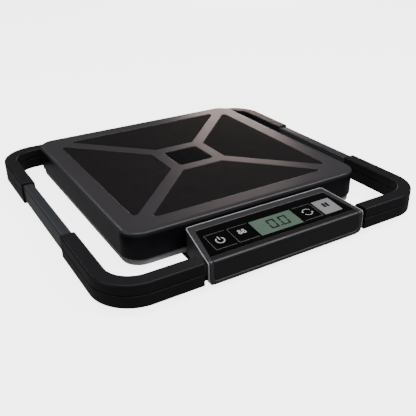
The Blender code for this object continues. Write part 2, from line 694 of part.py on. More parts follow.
def build_bay(tray):
    """The battery bay over a hole in the tray's floor, its cells, contacts and sliding door."""
    y0, y1 = BATTERY_Y - BAY_LENGTH_HALF, BATTERY_Y + BAY_LENGTH_HALF
    low, high = (-BAY_HALF, y0, TRAY_BOTTOM - PAST), (BAY_HALF, y1, BAY_CEILING)
    mouth = box("bay_mouth", low, (BAY_HALF, y1, TRAY_TOP + PAST), parent=SCALE)
    cut(tray, mouth)
    bay_low = (-BAY_HALF - BAY_WALL, y0 - BAY_WALL, TRAY_TOP + GAP)
    bay_high = (BAY_HALF + BAY_WALL, y1 + BAY_WALL, BAY_CEILING + BAY_WALL)
    bay = box("battery_bay", bay_low, bay_high, "black_moulding", SCALE, corner=BAY_CORNER, steps=2)
    cut(bay, box("bay_hollow", low, high, parent=SCALE))
    flange_low = (-BAY_HALF - 3 * BAY_WALL, y0 - BAY_WALL, TRAY_TOP + GAP)
    flange_high = (BAY_HALF + 3 * BAY_WALL, y1 + BAY_WALL, TRAY_TOP + GAP + BAY_WALL)
    flange = box("bay_flange", flange_low, flange_high, parent=SCALE)
    join(bay, flange)
    cut(bay, box("bay_flange_hollow", low, high, parent=SCALE))
    axis_z = TRAY_TOP + CELL_AA_RADIUS
    for i in range(CELL_AA_COUNT):
        x = (i - (CELL_AA_COUNT - 1) / 2) * CELL_AA_PITCH
        way = 1 if i % 2 else -1
        half = CELL_AA_LENGTH / 2
        profile = (
            (0, half),
            (CELL_CAP_RADIUS, half),
            (CELL_CAP_RADIUS, half - CELL_CAP_HEIGHT),
            (CELL_AA_RADIUS - CELL_BEVEL, half - CELL_CAP_HEIGHT),
            (CELL_AA_RADIUS, half - CELL_CAP_HEIGHT - CELL_BEVEL),
            (CELL_AA_RADIUS, -half),
            (0, -half),
        )
        tilt = (way * math.pi / 2, 0, 0)
        turned(f"battery_{i + 1}", profile, "cell_jacket", SCALE, (x, BATTERY_Y, axis_z), tilt, sides=16)
    for name, side in (("front", -1), ("rear", 1)):
        wall_y = BATTERY_Y + side * (BAY_LENGTH_HALF - GAP)
        face_y = wall_y - side * CONTACT_THICKNESS
        contact_low = (-BAY_HALF + GAP, min(wall_y, face_y), axis_z - CONTACT_HEIGHT / 2)
        contact_high = (BAY_HALF - GAP, max(wall_y, face_y), axis_z + CONTACT_HEIGHT / 2)
        contact = box(f"battery_contact_{name}", contact_low, contact_high, "zinc_steel", SCALE)
        for i in range(CELL_AA_COUNT):
            x = (i - (CELL_AA_COUNT - 1) / 2) * CELL_AA_PITCH
            tip = BATTERY_Y + side * (CELL_AA_LENGTH / 2 + GAP)
            ends = sorted((tip, wall_y - side * CONTACT_THICKNESS / 5))
            boss = cylinder(
                f"boss_{name}_{i}", CONTACT_BOSS, *ends, (x, 0, axis_z), parent=SCALE, axis="Y", sides=10
            )
            join(contact, boss)

    slide = empty("door_slide", (0, BATTERY_Y, TRAY_BOTTOM), SCALE)
    door_half, door_long = BAY_HALF + DOOR_LIP, BAY_LENGTH_HALF + DOOR_LIP
    door_top = -GAP
    door = box(
        "battery_door",
        (-door_half, -door_long, door_top - DOOR_THICKNESS),
        (door_half, door_long, door_top),
        "tray_grey",
        slide,
        corner=BAY_CORNER,
        steps=2,
    )
    grip = box(
        "door_grip",
        (-DOOR_GRIP / 2, -door_long + DOOR_GRIP_INSET, door_top - DOOR_THICKNESS - DOOR_GRIP_RISE),
        (DOOR_GRIP / 2, -door_long + DOOR_GRIP_INSET + DOOR_GRIP_DEPTH, door_top - DOOR_THICKNESS / 2),
        parent=slide,
    )
    join(door, grip)
    for name, side in SIDES:
        lower = TRAY_BOTTOM - GAP - DOOR_THICKNESS - GAP
        web = (side * (door_half + GAP), side * (door_half + GAP + DOOR_RUNNER))
        lip = (side * (door_half - DOOR_RUNNER_LIP), web[1])
        for part, (xa, xb), z0, z1 in (
            ("web", web, lower - DOOR_RUNNER_FLOOR, TRAY_BOTTOM + TRAY_FLOOR / 2),
            ("lip", lip, lower - DOOR_RUNNER_FLOOR, lower),
        ):
            runner_low = (min(xa, xb), BATTERY_Y - door_long, z0)
            runner_high = (max(xa, xb), BATTERY_Y + door_long, z1)
            join(tray, box(f"door_runner_{part}_{name}", runner_low, runner_high, parent=SCALE))


def build_board(tray):
    """The load cells' summing board on four stand-offs."""
    (x0, y0), (x1, y1) = BOARD_LOW, BOARD_HIGH
    low = TRAY_TOP + BOARD_LIFT + GAP
    board = box("sensor_board", (x0, y0, low), (x1, y1, low + BOARD_THICKNESS), "circuit_board", SCALE)
    deck = low + BOARD_THICKNESS / 2
    for name, dx, dy, width, length, height in BOARD_PARTS:
        base = Vector((x0 + dx, y0 + dy, deck))
        join(board, box(f"board_{name}", base, base + Vector((width, length, height)), parent=SCALE))
    for i, (x, y) in enumerate(((x0, y0), (x1, y0), (x0, y1), (x1, y1))):
        x += BOARD_HOLE_INSET if x == x0 else -BOARD_HOLE_INSET
        y += BOARD_HOLE_INSET if y == y0 else -BOARD_HOLE_INSET
        foot_z = TRAY_BOTTOM + TRAY_FLOOR / 2
        post = cylinder(f"stand_off_{i}", STAND_OFF_RADIUS, foot_z, low - GAP, (x, y, 0), parent=SCALE)
        join(tray, post)


def build_socket(tray):
    """The data and power socket in the tray's right-hand wall."""
    face = HALF - TRAY_INSET - GAP
    bottom = TRAY_TOP + GAP
    low = (face - SOCKET_DEPTH, SOCKET_Y - SOCKET_WIDTH / 2, bottom)
    high = (face, SOCKET_Y + SOCKET_WIDTH / 2, bottom + SOCKET_HEIGHT)
    socket = box("data_socket", low, high, "zinc_steel", SCALE)
    mouth_low = (face - SOCKET_DEPTH + SOCKET_BACK, low[1] + SOCKET_WALL, bottom + SOCKET_WALL)
    mouth_high = (face + PAST, high[1] - SOCKET_WALL, high[2] - SOCKET_WALL)
    cut(socket, box("socket_mouth", mouth_low, mouth_high, parent=SCALE))
    port_low = (face - SOCKET_DEPTH - PAST, low[1] - GAP, bottom - GAP / 2)
    port_high = (face + PAST + GAP, high[1] + GAP, high[2] + GAP)
    cut(tray, box("socket_port", port_low, port_high, parent=SCALE))


# ---- Handle frame: half shells, tubes and their screws ----


def shell_halves(name, outline, hollows, parts):
    """The upper and the lower half shell over one outline, hollowed by the given outlines."""
    for half in ("upper", "lower"):
        upper = half == "upper"
        low, high = (PARTING_Z + GAP / 2, BAR_TOP) if upper else (BAR_BOTTOM, PARTING_Z - GAP / 2)
        outer_z, parting_z = (high, low) if upper else (low, high)
        bm = outline_mesh(outline, low, high)
        round_edges(bm, level_edges(bm, 2, outer_z), BAR_EDGE, 2)
        round_edges(bm, level_edges(bm, 2, parting_z), PARTING_CHAMFER, 1)
        shell = solid(f"{name}_{half}", bm, "black_moulding", SCALE)
        for i, hollow in enumerate(hollows):
            floor, ceiling = BAR_BOTTOM + SHELL_WALL, BAR_TOP - SHELL_WALL
            inner = (PARTING_Z - PAST, ceiling) if upper else (floor, PARTING_Z + PAST)
            cut(shell, plate(f"{name}_{half}_hollow_{i}", hollow, *inner, None, SCALE))
        parts[f"{name}_{half}"] = shell


def build_frame():
    parts = {}
    outer, inner = FRAME_HALF, FRAME_HALF - BAR_WIDTH
    rear, rear_in = RAIL_REAR_Y, RAIL_REAR_Y - BAR_WIDTH
    front, front_in = BAR_FRONT_Y, BAR_FRONT_Y + BAR_WIDTH
    inner_corner = FRAME_CORNER - BAR_WIDTH
    wall = SHELL_WALL
    rail = rounded(
        (
            (outer, SLEEVE_REAR_Y, 0), (outer, rear, FRAME_CORNER),
            (-outer, rear, FRAME_CORNER), (-outer, SLEEVE_REAR_Y, 0),
            (-inner, SLEEVE_REAR_Y, 0), (-inner, rear_in, inner_corner),
            (inner, rear_in, inner_corner), (inner, SLEEVE_REAR_Y, 0),
        )
    )
    hollows = []
    rib = RIB_THICKNESS / 2
    for side in (-1, 1):
        x0, x1, end = side * (outer - wall), side * (inner + wall), side * (RAIL_RIB_X + rib)
        hollows.append(
            rounded(
                (
                    (x0, SLEEVE_REAR_Y - WELL_PAST, 0), (x0, rear - wall, FRAME_CORNER - wall),
                    (end, rear - wall, 0), (end, rear_in + wall, 0),
                    (x1, rear_in + wall, inner_corner + wall), (x1, SLEEVE_REAR_Y - WELL_PAST, 0),
                )
            )
        )
    middle = RAIL_RIB_X - rib
    near_y, far_y = rear_in + wall, rear - wall
    hollows.append([(-middle, near_y), (middle, near_y), (middle, far_y), (-middle, far_y)])
    shell_halves("rear_rail", rail, hollows, parts)
    for name, side in SIDES:
        corner = rounded(
            (
                (side * outer, SLEEVE_FRONT_Y, 0), (side * outer, front, FRAME_CORNER),
                (side * BAR_END_X, front, 0), (side * BAR_END_X, front_in, 0),
                (side * inner, front_in, inner_corner), (side * inner, SLEEVE_FRONT_Y, 0),
            )
        )
        end = side * (BAR_END_X + BAR_END_BLOCK)
        x0, x1 = side * (outer - wall), side * (inner + wall)
        hollow = rounded(
            (
                (x0, SLEEVE_FRONT_Y + WELL_PAST, 0), (x0, front + wall, FRAME_CORNER - wall),
                (end, front + wall, 0), (end, front_in - wall, 0),
                (x1, front_in - wall, inner_corner + wall), (x1, SLEEVE_FRONT_Y + WELL_PAST, 0),
            )
        )
        shell_halves(f"front_corner_{name}", corner, [hollow], parts)
        build_tube(name, side, parts)
        build_bar_screws(name, side, parts)
    for name, side in SIDES:
        at = (side * RAIL_RIB_X, RAIL_REAR_Y - BAR_WIDTH / 2, 0)
        hole = cylinder(
            f"rail_hole_{name}", SCREW_HOLE, 0, BAR_TOP - SHELL_WALL, at, parent=SCALE, sides=SCREW_SIDES
        )
        cut(parts["rear_rail_upper"], hole)
        cut(parts["rear_rail_lower"], hole)


def build_tube(name, side, parts):
    x = side * (FRAME_HALF - BAR_WIDTH / 2)
    half = BAR_WIDTH / 2 - SHELL_WALL - GAP
    y0, y1 = SLEEVE_FRONT_Y - TUBE_INSERT, SLEEVE_REAR_Y + TUBE_INSERT
    z0, z1 = BAR_BOTTOM + SHELL_WALL + GAP, BAR_TOP - SHELL_WALL - GAP
    tube = box(
        f"side_tube_{name}",
        (x - half, y0, z0),
        (x + half, y1, z1),
        "grey_tube",
        SCALE,
        TUBE_EDGE,
        axis=1,
        steps=3,
    )
    wall = TUBE_WALL
    bore = box(
        f"tube_bore_{name}",
        (x - half + wall, y0 - PAST, z0 + wall),
        (x + half - wall, y1 + PAST, z1 - wall),
        None,
        SCALE,
        TUBE_EDGE - wall,
        axis=1,
        steps=2,
    )
    cut(tube, bore)
    for place, y, shell in (
        ("front", SLEEVE_FRONT_Y - TUBE_INSERT / 2, f"front_corner_{name}_lower"),
        ("rear", SLEEVE_REAR_Y + TUBE_INSERT / 2, "rear_rail_lower"),
    ):
        hole_top = z0 + wall + PAST
        hole = cylinder(
            f"tube_hole_{place}_{name}", SCREW_HOLE, 0, hole_top, (x, y, 0), parent=SCALE, sides=SCREW_SIDES
        )
        cut(tube, hole)
        cut(parts[shell], hole)
        screw(f"tube_screw_{place}_{name}", (x, y, BAR_BOTTOM - GAP), TUBE_SCREW, parent=SCALE)


def build_bar_screws(name, side, parts):
    """At each bar end, one screw joins the half shells and one holds the dock's ear."""
    y = BAR_FRONT_Y + BAR_WIDTH / 2
    x = side * (BAR_END_X + BAR_SCREW_REACH)
    hole_top = BAR_BOTTOM + BAR_SCREW + 2 * PAST
    hole = cylinder(f"bar_hole_{name}", SCREW_HOLE, 0, hole_top, (x, y, 0), parent=SCALE, sides=SCREW_SIDES)
    cut(parts[f"front_corner_{name}_lower"], hole)
    cut(parts[f"front_corner_{name}_upper"], hole)
    screw(f"bar_screw_{name}", (x, y, BAR_BOTTOM - GAP), BAR_SCREW, parent=SCALE)


# ---- Dock: floor under the head, runners, tail under the tray, and ears on the bar ends ----


def build_dock():
    ear_y = BAR_FRONT_Y + BAR_WIDTH + GAP
    ear_x = BAR_END_X + EAR_WIDTH
    half = HEAD_BACK_HALF - DOCK_SIDE_INSET
    front = HEAD_FRONT_Y + DOCK_FRONT_INSET
    tail = -HALF + DOCK_TAIL
    dock = box(
        "display_dock",
        (-half, front, DOCK_BOTTOM),
        (half, tail, DOCK_TOP),
        "black_moulding",
        SCALE,
        DOCK_CORNER,
        steps=2,
    )
    wing = box(
        "dock_wing", (-ear_x, ear_y, DOCK_BOTTOM), (ear_x, ear_y + EAR_DEPTH, DOCK_TOP), parent=SCALE
    )
    join(dock, wing)
    step = box(
        "dock_step",
        (-half + DOCK_STEP_INSET, -HALF + TRAY_INSET + GAP, DOCK_BOTTOM),
        (half - DOCK_STEP_INSET, tail - DOCK_STEP_INSET, TRAY_BOTTOM - GAP),
        parent=SCALE,
    )
    join(dock, step)
    for name, side in SIDES:
        xa, xb = sorted((side * BAR_END_X, side * ear_x))
        ear = box(
            f"ear_{name}",
            (xa, ear_y, DOCK_BOTTOM),
            (xb, ear_y + EAR_DEPTH, DOCK_BOTTOM + EAR_HEIGHT),
            parent=SCALE,
        )
        join(dock, ear)
        x = side * RUNNER_X
        runner = box(
            f"runner_{name}",
            (x - RUNNER_WIDTH / 2, front + RUNNER_END, DOCK_TOP - DOCK_FLOOR / 2),
            (x + RUNNER_WIDTH / 2, HEAD_BACK_Y - RUNNER_END, DOCK_TOP + RUNNER_HEIGHT),
            parent=SCALE,
        )
        join(dock, runner)
        tail_y = -HALF + DOCK_TAIL / 2
        sink = DOCK_BOTTOM + SCREW_HEAD_HEIGHT + 2 * GAP
        for part, radius, top in (("hole", SCREW_HOLE, TRAY_BOTTOM), ("well", SCREW_HEAD + GAP, sink)):
            cutter = cylinder(
                f"dock_{part}_{name}", radius, 0, top, (x, tail_y, 0), parent=SCALE, sides=SCREW_SIDES
            )
            cut(dock, cutter)
        screw(f"dock_screw_{name}", (x, tail_y, sink - GAP), TAIL_SCREW, parent=SCALE)
        build_ear_screw(dock, name, side, ear_y)


def build_ear_screw(dock, name, side, ear_y):
    x = side * (BAR_END_X + EAR_SCREW_REACH)
    z = BAR_BOTTOM + PARTING_HEIGHT / 2
    deep = EAR_SCREW - EAR_DEPTH + 2 * PAST
    hole = cylinder(
        f"ear_hole_{name}",
        SCREW_HOLE,
        -deep,
        EAR_DEPTH + PAST,
        (x, ear_y, z),
        parent=SCALE,
        axis="Y",
        sides=SCREW_SIDES,
    )
    cut(dock, hole)
    cut(bpy.data.objects[f"front_corner_{name}_lower"], hole)
    screw(f"ear_screw_{name}", (x, ear_y + EAR_DEPTH + GAP, z), EAR_SCREW, (math.pi / 2, 0, 0), SCALE)


# ---- Display head ----


def top_point(y, inset):
    """A point of the tilted top plane at y, sunk by inset along the plane's normal."""
    rise = (math.sin(HEAD_TILT) * (y - HEAD_BACK_Y) - inset) / math.cos(HEAD_TILT)
    return (y, HEAD_TOP_BACK + rise)


def side_profile(inset, back_y, steps=5):
    """The head's side outline from the top's back, over the front roll and down to the bottom roll."""
    roll_y = HEAD_FRONT_Y + FRONT_ROLL
    roll_z = top_point(roll_y, FRONT_ROLL)[1]
    points = [top_point(back_y, inset)]
    arcs = (
        (roll_y, roll_z, FRONT_ROLL - inset, math.pi / 2 + HEAD_TILT, math.pi),
        (
            HEAD_FRONT_Y + BOTTOM_ROLL,
            HEAD_BOTTOM + BOTTOM_ROLL,
            BOTTOM_ROLL - inset,
            math.pi,
            math.pi * 3 / 2,
        ),
    )
    for y, z, radius, first, last in arcs:
        for step in range(steps + 1):
            turn = first + (last - first) * step / steps
            points.append((y + radius * math.cos(turn), z + radius * math.sin(turn)))
    return points


def head_half(y):
    """Half the head's width at y."""
    share = (y - HEAD_FRONT_Y) / HEAD_DEPTH
    return HEAD_FRONT_HALF + (HEAD_BACK_HALF - HEAD_FRONT_HALF) * share


def head_plan(inset, front_inset=0.0):
    """The head's plan with its flanks and back moved in by inset, and its front by front_inset."""
    flank = math.atan((HEAD_FRONT_HALF - HEAD_BACK_HALF) / HEAD_DEPTH)
    front, back = HEAD_FRONT_Y + front_inset, HEAD_BACK_Y - inset
    wide = head_half(front) - inset / math.cos(flank)
    narrow = head_half(back) - inset / math.cos(flank)
    corner = max(HEAD_CORNER - inset, LEAST_CORNER)
    corners = ((-wide, front), (wide, front), (narrow, back), (-narrow, back))
    return rounded([(x, y, corner) for x, y in corners], 4)


def window_plan(inset):
    """The opening of the bezel in plan, run out past the head's front."""
    back = HEAD_BACK_Y - RIM - BEZEL_BACK
    wide = HEAD_FRONT_HALF - RIM - BEZEL_COLUMN
    narrow = head_half(back) - RIM - BEZEL_SIDE
    slope = (wide - narrow) / (back - HEAD_FRONT_Y)
    at = lambda y: wide - slope * (y - HEAD_FRONT_Y) - inset
    back -= inset
    ends = ((-1, AHEAD_Y, 0), (1, AHEAD_Y, 0), (1, back, WINDOW_CORNER), (-1, back, WINDOW_CORNER))
    return rounded([(side * at(y), y, corner) for side, y, corner in ends], 3)


def key_x(place):
    """The middle of a key: two on each side of the display."""
    near = LCD_WIDTH / 2 + KEY_SPACE + KEY_WIDTH / 2
    reach = near + (KEY_WIDTH + KEY_SPACE) * (abs(place) - 0.5)
    return math.copysign(reach, place)


def build_head():
    slide = empty("head_slide", (0, 0, 0), SCALE)
    far = HEAD_FRONT_HALF + WELL_PAST
    past_back = HEAD_BACK_Y + WELL_PAST
    end_y = HEAD_FRONT_Y + BOTTOM_ROLL + BEZEL_LAP

    def skin(name, outer, inner, finish_name):
        out = side_profile(outer, past_back) + [(end_y, HEAD_BOTTOM + outer)]
        back = side_profile(inner, past_back) + [(end_y, HEAD_BOTTOM + inner)]
        return side_plate(name, out + back[::-1], far, finish_name, slide)

    bezel = skin("head_bezel", 0, SKIN, "bezel_grey")
    keep_within(bezel, plate("bezel_plan", head_plan(RIM + GAP), 0, CLEAR_TOP, None, slide))
    window_bottom = HEAD_BOTTOM + BEZEL_FOOT
    cut(bezel, plate("bezel_window", window_plan(0), window_bottom, CLEAR_TOP, None, slide))

    panel = skin("head_front_panel", PANEL_RECESS, SKIN, "black_moulding")
    keep_within(panel, plate("panel_plan", window_plan(GAP), window_bottom + GAP, CLEAR_TOP, None, slide))

    overlay_front = HEAD_FRONT_Y + OVERLAY_FRONT
    under = PANEL_RECESS + OVERLAY_THICKNESS + GAP
    recess = [top_point(past_back, under), top_point(overlay_front, under)]
    recess += [top_point(overlay_front, -WELL_PAST), top_point(past_back, -WELL_PAST)]
    cut(panel, side_plate("overlay_recess", recess, far, None, slide))
    overlay_y = overlay_front + GAP
    sheet = [top_point(past_back, PANEL_RECESS + OVERLAY_THICKNESS)]
    sheet += [top_point(overlay_y, PANEL_RECESS + OVERLAY_THICKNESS), top_point(overlay_y, PANEL_RECESS)]
    sheet += [top_point(past_back, PANEL_RECESS)]
    overlay = side_plate("head_overlay", sheet, far, "black_gloss", slide)
    keep_within(overlay, plate("overlay_plan", window_plan(GAP), 0, CLEAR_TOP, None, slide))

    shell = build_head_shell(slide, far, past_back)
    build_keys(slide, shell, overlay, panel)


def build_head_shell(slide, far, past_back):
    """The tub behind the bezel: flanks, back and floor, with a thin rim outside the bezel."""
    body = side_profile(RIM_DROP, past_back) + [(past_back, HEAD_BOTTOM)]
    body[-2] = (body[-2][0], HEAD_BOTTOM + RIM_DROP)
    body.insert(-1, (body[-2][0] + RIM_DROP, HEAD_BOTTOM))
    shell = side_plate("head_shell", body, far, "black_moulding", slide)
    keep_within(shell, plate("shell_plan", head_plan(0, RIM_DROP), 0, CLEAR_TOP, None, slide))

    depth = SKIN + GAP
    end_y = HEAD_FRONT_Y + BOTTOM_ROLL + BEZEL_LAP + GAP
    seat = side_profile(depth, past_back) + [(end_y, HEAD_BOTTOM + depth)]
    seat += [(end_y, 0), (AHEAD_Y, 0), (AHEAD_Y, CLEAR_TOP), (past_back, CLEAR_TOP)]
    skin_space = side_plate("skin_space", seat, far, None, slide)
    space_plan = head_plan(RIM, AHEAD_Y - HEAD_FRONT_Y - PAST)
    keep_within(skin_space, plate("skin_space_plan", space_plan, -PAST, CLEAR_TOP + PAST, None, slide))
    cut(shell, skin_space)

    hollow_back = HEAD_BACK_Y - HEAD_WALL
    floor = HEAD_BOTTOM + HEAD_FLOOR
    front = HEAD_FRONT_Y + SKIN - PAST
    hollow = [(hollow_back, floor), (front, floor), (front, CLEAR_TOP), (hollow_back, CLEAR_TOP)]
    cavity = side_plate("head_hollow", hollow, far, None, slide)
    hollow_plan = head_plan(RIM + HEAD_WALL)
    keep_within(cavity, plate("head_hollow_plan", hollow_plan, -PAST, CLEAR_TOP + PAST, None, slide))
    cut(shell, cavity)
    for name, side in SIDES:
        x = side * RUNNER_X
        groove = box(
            f"runner_groove_{name}",
            (x - RUNNER_WIDTH / 2 - GAP, HEAD_FRONT_Y + DOCK_FRONT_INSET + RUNNER_END - PAST, 0),
            (x + RUNNER_WIDTH / 2 + GAP, past_back, DOCK_TOP + RUNNER_HEIGHT + GAP),
            parent=slide,
        )
        cut(shell, groove)
    return shell


def build_keys(slide, shell, overlay, panel):
    """Keys, display, board and posts, placed in the tilted plane of the head's top."""
    row_y = HEAD_BACK_Y - KEY_ROW_BACK - KEY_LENGTH / 2
    y, z = top_point(row_y, PANEL_RECESS)
    plane = empty("key_plane", (0, y, z), slide, tilt=HEAD_TILT)
    half_w, half_l = KEY_WIDTH / 2, KEY_LENGTH / 2
    for name, place, colour in KEY_ROW:
        at = (key_x(place), 0, 0)
        opening = box(
            f"{name}_opening",
            (-half_w - GAP, -half_l - GAP, -BOARD_DEPTH),
            (half_w + GAP, half_l + GAP, WELL_PAST),
            None,
            plane,
            KEY_CORNER + GAP,
            steps=2,
            at=at,
        )
        cut(overlay, opening)
        cut(panel, opening)
        low, high = (-half_w, -half_l, -KEY_HEIGHT), (half_w, half_l, 0)
        box(name, low, high, colour, plane, KEY_CORNER, steps=2, at=at)
    wide, long = LCD_WIDTH / 2, LCD_LENGTH / 2
    gap_low, gap_high = (-wide - GAP, -long - GAP, -BOARD_DEPTH), (wide + GAP, long + GAP, WELL_PAST)
    lcd_gap = box("lcd_opening", gap_low, gap_high, None, plane)
    cut(overlay, lcd_gap)
    cut(panel, lcd_gap)
    box("lcd_panel", (-wide, -long, -LCD_SINK - LCD_HEIGHT), (wide, long, -LCD_SINK), "display_glass", plane)

    top = -BOARD_DEPTH
    edge = key_x(KEY_ROW[-1][1]) + half_w - BOARD_EDGE
    board = box(
        "display_board", (-edge, -half_l, top - BOARD_THICKNESS), (edge, half_l, top), "circuit_board", plane
    )
    switch = SWITCH_SIDE / 2
    for name, place, _ in KEY_ROW:
        x = key_x(place)
        low = (x - switch, -switch, top - BOARD_THICKNESS / 2)
        high = (x + switch, switch, -KEY_HEIGHT - KEY_TRAVEL - SWITCH_CLEARANCE)
        join(board, box(f"{name}_switch", low, high, None, plane))
    connector_y = half_l - BOARD_EDGE
    connector = (-LCD_CONNECTOR / 2, connector_y - LCD_CONNECTOR_DEPTH, top - BOARD_THICKNESS / 2)
    connector_top = (LCD_CONNECTOR / 2, connector_y, -LCD_SINK - LCD_HEIGHT - 2 * GAP)
    join(board, box("lcd_connector", connector, connector_top, None, plane))
    post_top = top - BOARD_THICKNESS - GAP
    post_low = -(z - HEAD_BOTTOM - HEAD_FLOOR / 2) / math.cos(HEAD_TILT)
    for i, (sx, sy) in enumerate(((-1, -1), (1, -1), (-1, 1), (1, 1))):
        x, dy = sx * (edge - POST_X_INSET), sy * (half_l - POST_RADIUS - POST_Y_INSET)
        low = post_low - math.tan(HEAD_TILT) * dy
        post = cylinder(f"post_{i}", POST_RADIUS, low, post_top, (x, dy, 0), parent=plane, sides=SCREW_SIDES)
        join(shell, post)


build_platform()
build_tray()
build_frame()
build_dock()
build_head()
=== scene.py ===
import math

import bmesh
import bpy
from mathutils import Matrix, Vector


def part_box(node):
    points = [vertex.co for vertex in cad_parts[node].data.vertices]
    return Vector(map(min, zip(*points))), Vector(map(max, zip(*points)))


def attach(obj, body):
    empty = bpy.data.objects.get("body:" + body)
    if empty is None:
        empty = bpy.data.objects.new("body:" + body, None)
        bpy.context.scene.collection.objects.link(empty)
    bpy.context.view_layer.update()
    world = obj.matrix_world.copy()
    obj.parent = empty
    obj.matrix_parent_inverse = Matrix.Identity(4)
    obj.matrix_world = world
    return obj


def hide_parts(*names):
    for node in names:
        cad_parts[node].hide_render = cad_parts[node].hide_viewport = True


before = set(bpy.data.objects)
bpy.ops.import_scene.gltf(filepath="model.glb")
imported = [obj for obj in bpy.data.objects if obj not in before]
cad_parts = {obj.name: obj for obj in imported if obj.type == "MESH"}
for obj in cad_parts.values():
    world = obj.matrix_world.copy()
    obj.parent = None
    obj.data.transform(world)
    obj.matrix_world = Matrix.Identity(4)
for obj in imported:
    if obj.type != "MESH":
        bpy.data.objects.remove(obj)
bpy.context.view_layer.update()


# ---- Base tray and battery door ----
# The tray is one injection moulding in light grey ABS, with a lip that runs up inside the cover.
# Its door slides in two runners under the batteries, and both came out of grained tool steel,
# which leaves a dull, slightly cloudy face.

MM = 0.001


def linear(code):
    """A colour as designers write it, #rrggbb, turned to the linear light a shader needs."""
    parts = [int(code[i:i + 2], 16) / 255 for i in (1, 3, 5)]
    return (*((v / 12.92 if v <= 0.04045 else ((v + 0.055) / 1.055) ** 2.4) for v in parts), 1)


def start_finish(name, **sockets):
    """A new material, with the values that are the same all over it set on its shader."""
    made = bpy.data.materials.new(name)
    made.use_nodes = True
    shader = made.node_tree.nodes["Principled BSDF"]
    for socket, value in sockets.items():
        shader.inputs[socket.replace("_", " ")].default_value = value
    return made, shader


def add_node(material, kind, inputs, **settings):
    """Adds one node with its settings, its values and its links."""
    made = material.node_tree.nodes.new("ShaderNode" + kind)
    for name, value in settings.items():
        setattr(made, name, value)
    for name, value in inputs.items():
        if isinstance(value, bpy.types.NodeSocket):
            material.node_tree.links.new(value, made.inputs[name])
        else:
            made.inputs[name].default_value = value
    return made


def feed(shader, **sources):
    """Links what varies over a surface to the sockets of its shader."""
    for socket, source in sources.items():
        shader.id_data.links.new(source, shader.inputs[socket.replace("_", " ")])


def grained_plastic(name, dark, light, roughness, grain, relief, specular=0.5):
    """Injection-moulded plastic: a faint cloud in the colour, an uneven sheen and a tool grain.
    Real grain is about 0.1 mm, so it is drawn at the coarser size given, or it would not show."""
    made, shader = start_finish(name, Specular_IOR_Level=specular, IOR=1.53)
    place = add_node(made, "TexCoord", {}).outputs["Object"]
    cloud = add_node(made, "TexNoise", {"Vector": place, "Scale": 1 / (45 * MM), "Detail": 3.0})
    tone = add_node(
        made, "Mix", {0: cloud.outputs["Fac"], 6: linear(dark), 7: linear(light)}, data_type="RGBA"
    )
    wear = add_node(made, "TexNoise", {"Vector": place, "Scale": 1 / (12 * MM), "Detail": 5.0})
    sheen = add_node(
        made,
        "MapRange",
        {"Value": wear.outputs["Fac"], "From Min": 0.3, "From Max": 0.7, "To Min": roughness - 0.05,
         "To Max": roughness + 0.05},
    )
    pits = add_node(made, "TexNoise", {"Vector": place, "Scale": 1 / grain, "Detail": 2.0})
    bump = add_node(
        made, "Bump", {"Height": pits.outputs["Fac"], "Distance": relief, "Strength": 0.6}
    )
    feed(shader, Base_Color=tone.outputs[2], Roughness=sheen.outputs["Result"], Normal=bump.outputs["Normal"])
    return made


def dress(material, slot, *names):
    """Gives CAD nodes that keep their own shape their finish."""
    for name in names:
        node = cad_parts[name]
        node.material_slots[0].material = material


TRAY_ABS = grained_plastic("light_grey_abs", "#a9abae", "#b9bbbd", 0.46, 0.9 * MM, 0.03 * MM)
dress(TRAY_ABS, "tray_grey", "base_tray", "battery_door")


# ---- Feet ----
# Four moulded rubber feet whose stems are pushed through the tray. Each has a groove round its
# flank and a ring on its sole, and the rubber is matt with a bloom of dust.

CORNERS = ("front_left", "front_right", "rear_left", "rear_right")


def loft(bm, rings, first_cap=True, last_cap=True):
    """Skins closed rings that hold the same number of points, and caps the ends."""
    made = [[bm.verts.new(point) for point in ring] for ring in rings]
    for lower, upper in zip(made, made[1:]):
        for i in range(len(lower)):
            j = (i + 1) % len(lower)
            bm.faces.new((lower[i], lower[j], upper[j], upper[i]))
    if first_cap:
        bm.faces.new(made[0][::-1])
    if last_cap:
        bm.faces.new(made[-1])
    return made


def turned(bm, profile, at=(0, 0, 0), sides=48):
    """A turned solid from (radius, height) points, both ends capped flat."""
    rings = []
    for radius, height in profile:
        ring = []
        for i in range(sides):
            turn = 2 * math.pi * i / sides
            ring.append(Vector(at) + Vector((radius * math.cos(turn), radius * math.sin(turn), height)))
        rings.append(ring)
    loft(bm, rings)


def finish_piece(name, bm, material, slot, body, *stands_for, crisp=32, even=True):
    """Makes a piece of a mesh: smooth faces, its finish, its body and the CAD nodes it stands for."""
    bmesh.ops.recalc_face_normals(bm, faces=bm.faces)
    mesh = bpy.data.meshes.new(name)
    bm.to_mesh(mesh)
    bm.free()
    mesh.materials.append(material)
    mesh.shade_smooth()
    mesh.set_sharp_from_angle(angle=math.radians(crisp))
    piece = bpy.data.objects.new(name, mesh)
    bpy.context.scene.collection.objects.link(piece)
    if even:
        piece.modifiers.new("even_shading", "WEIGHTED_NORMAL").keep_sharp = True
    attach(piece, body)
    if stands_for:
        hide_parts(*stands_for)
    return piece


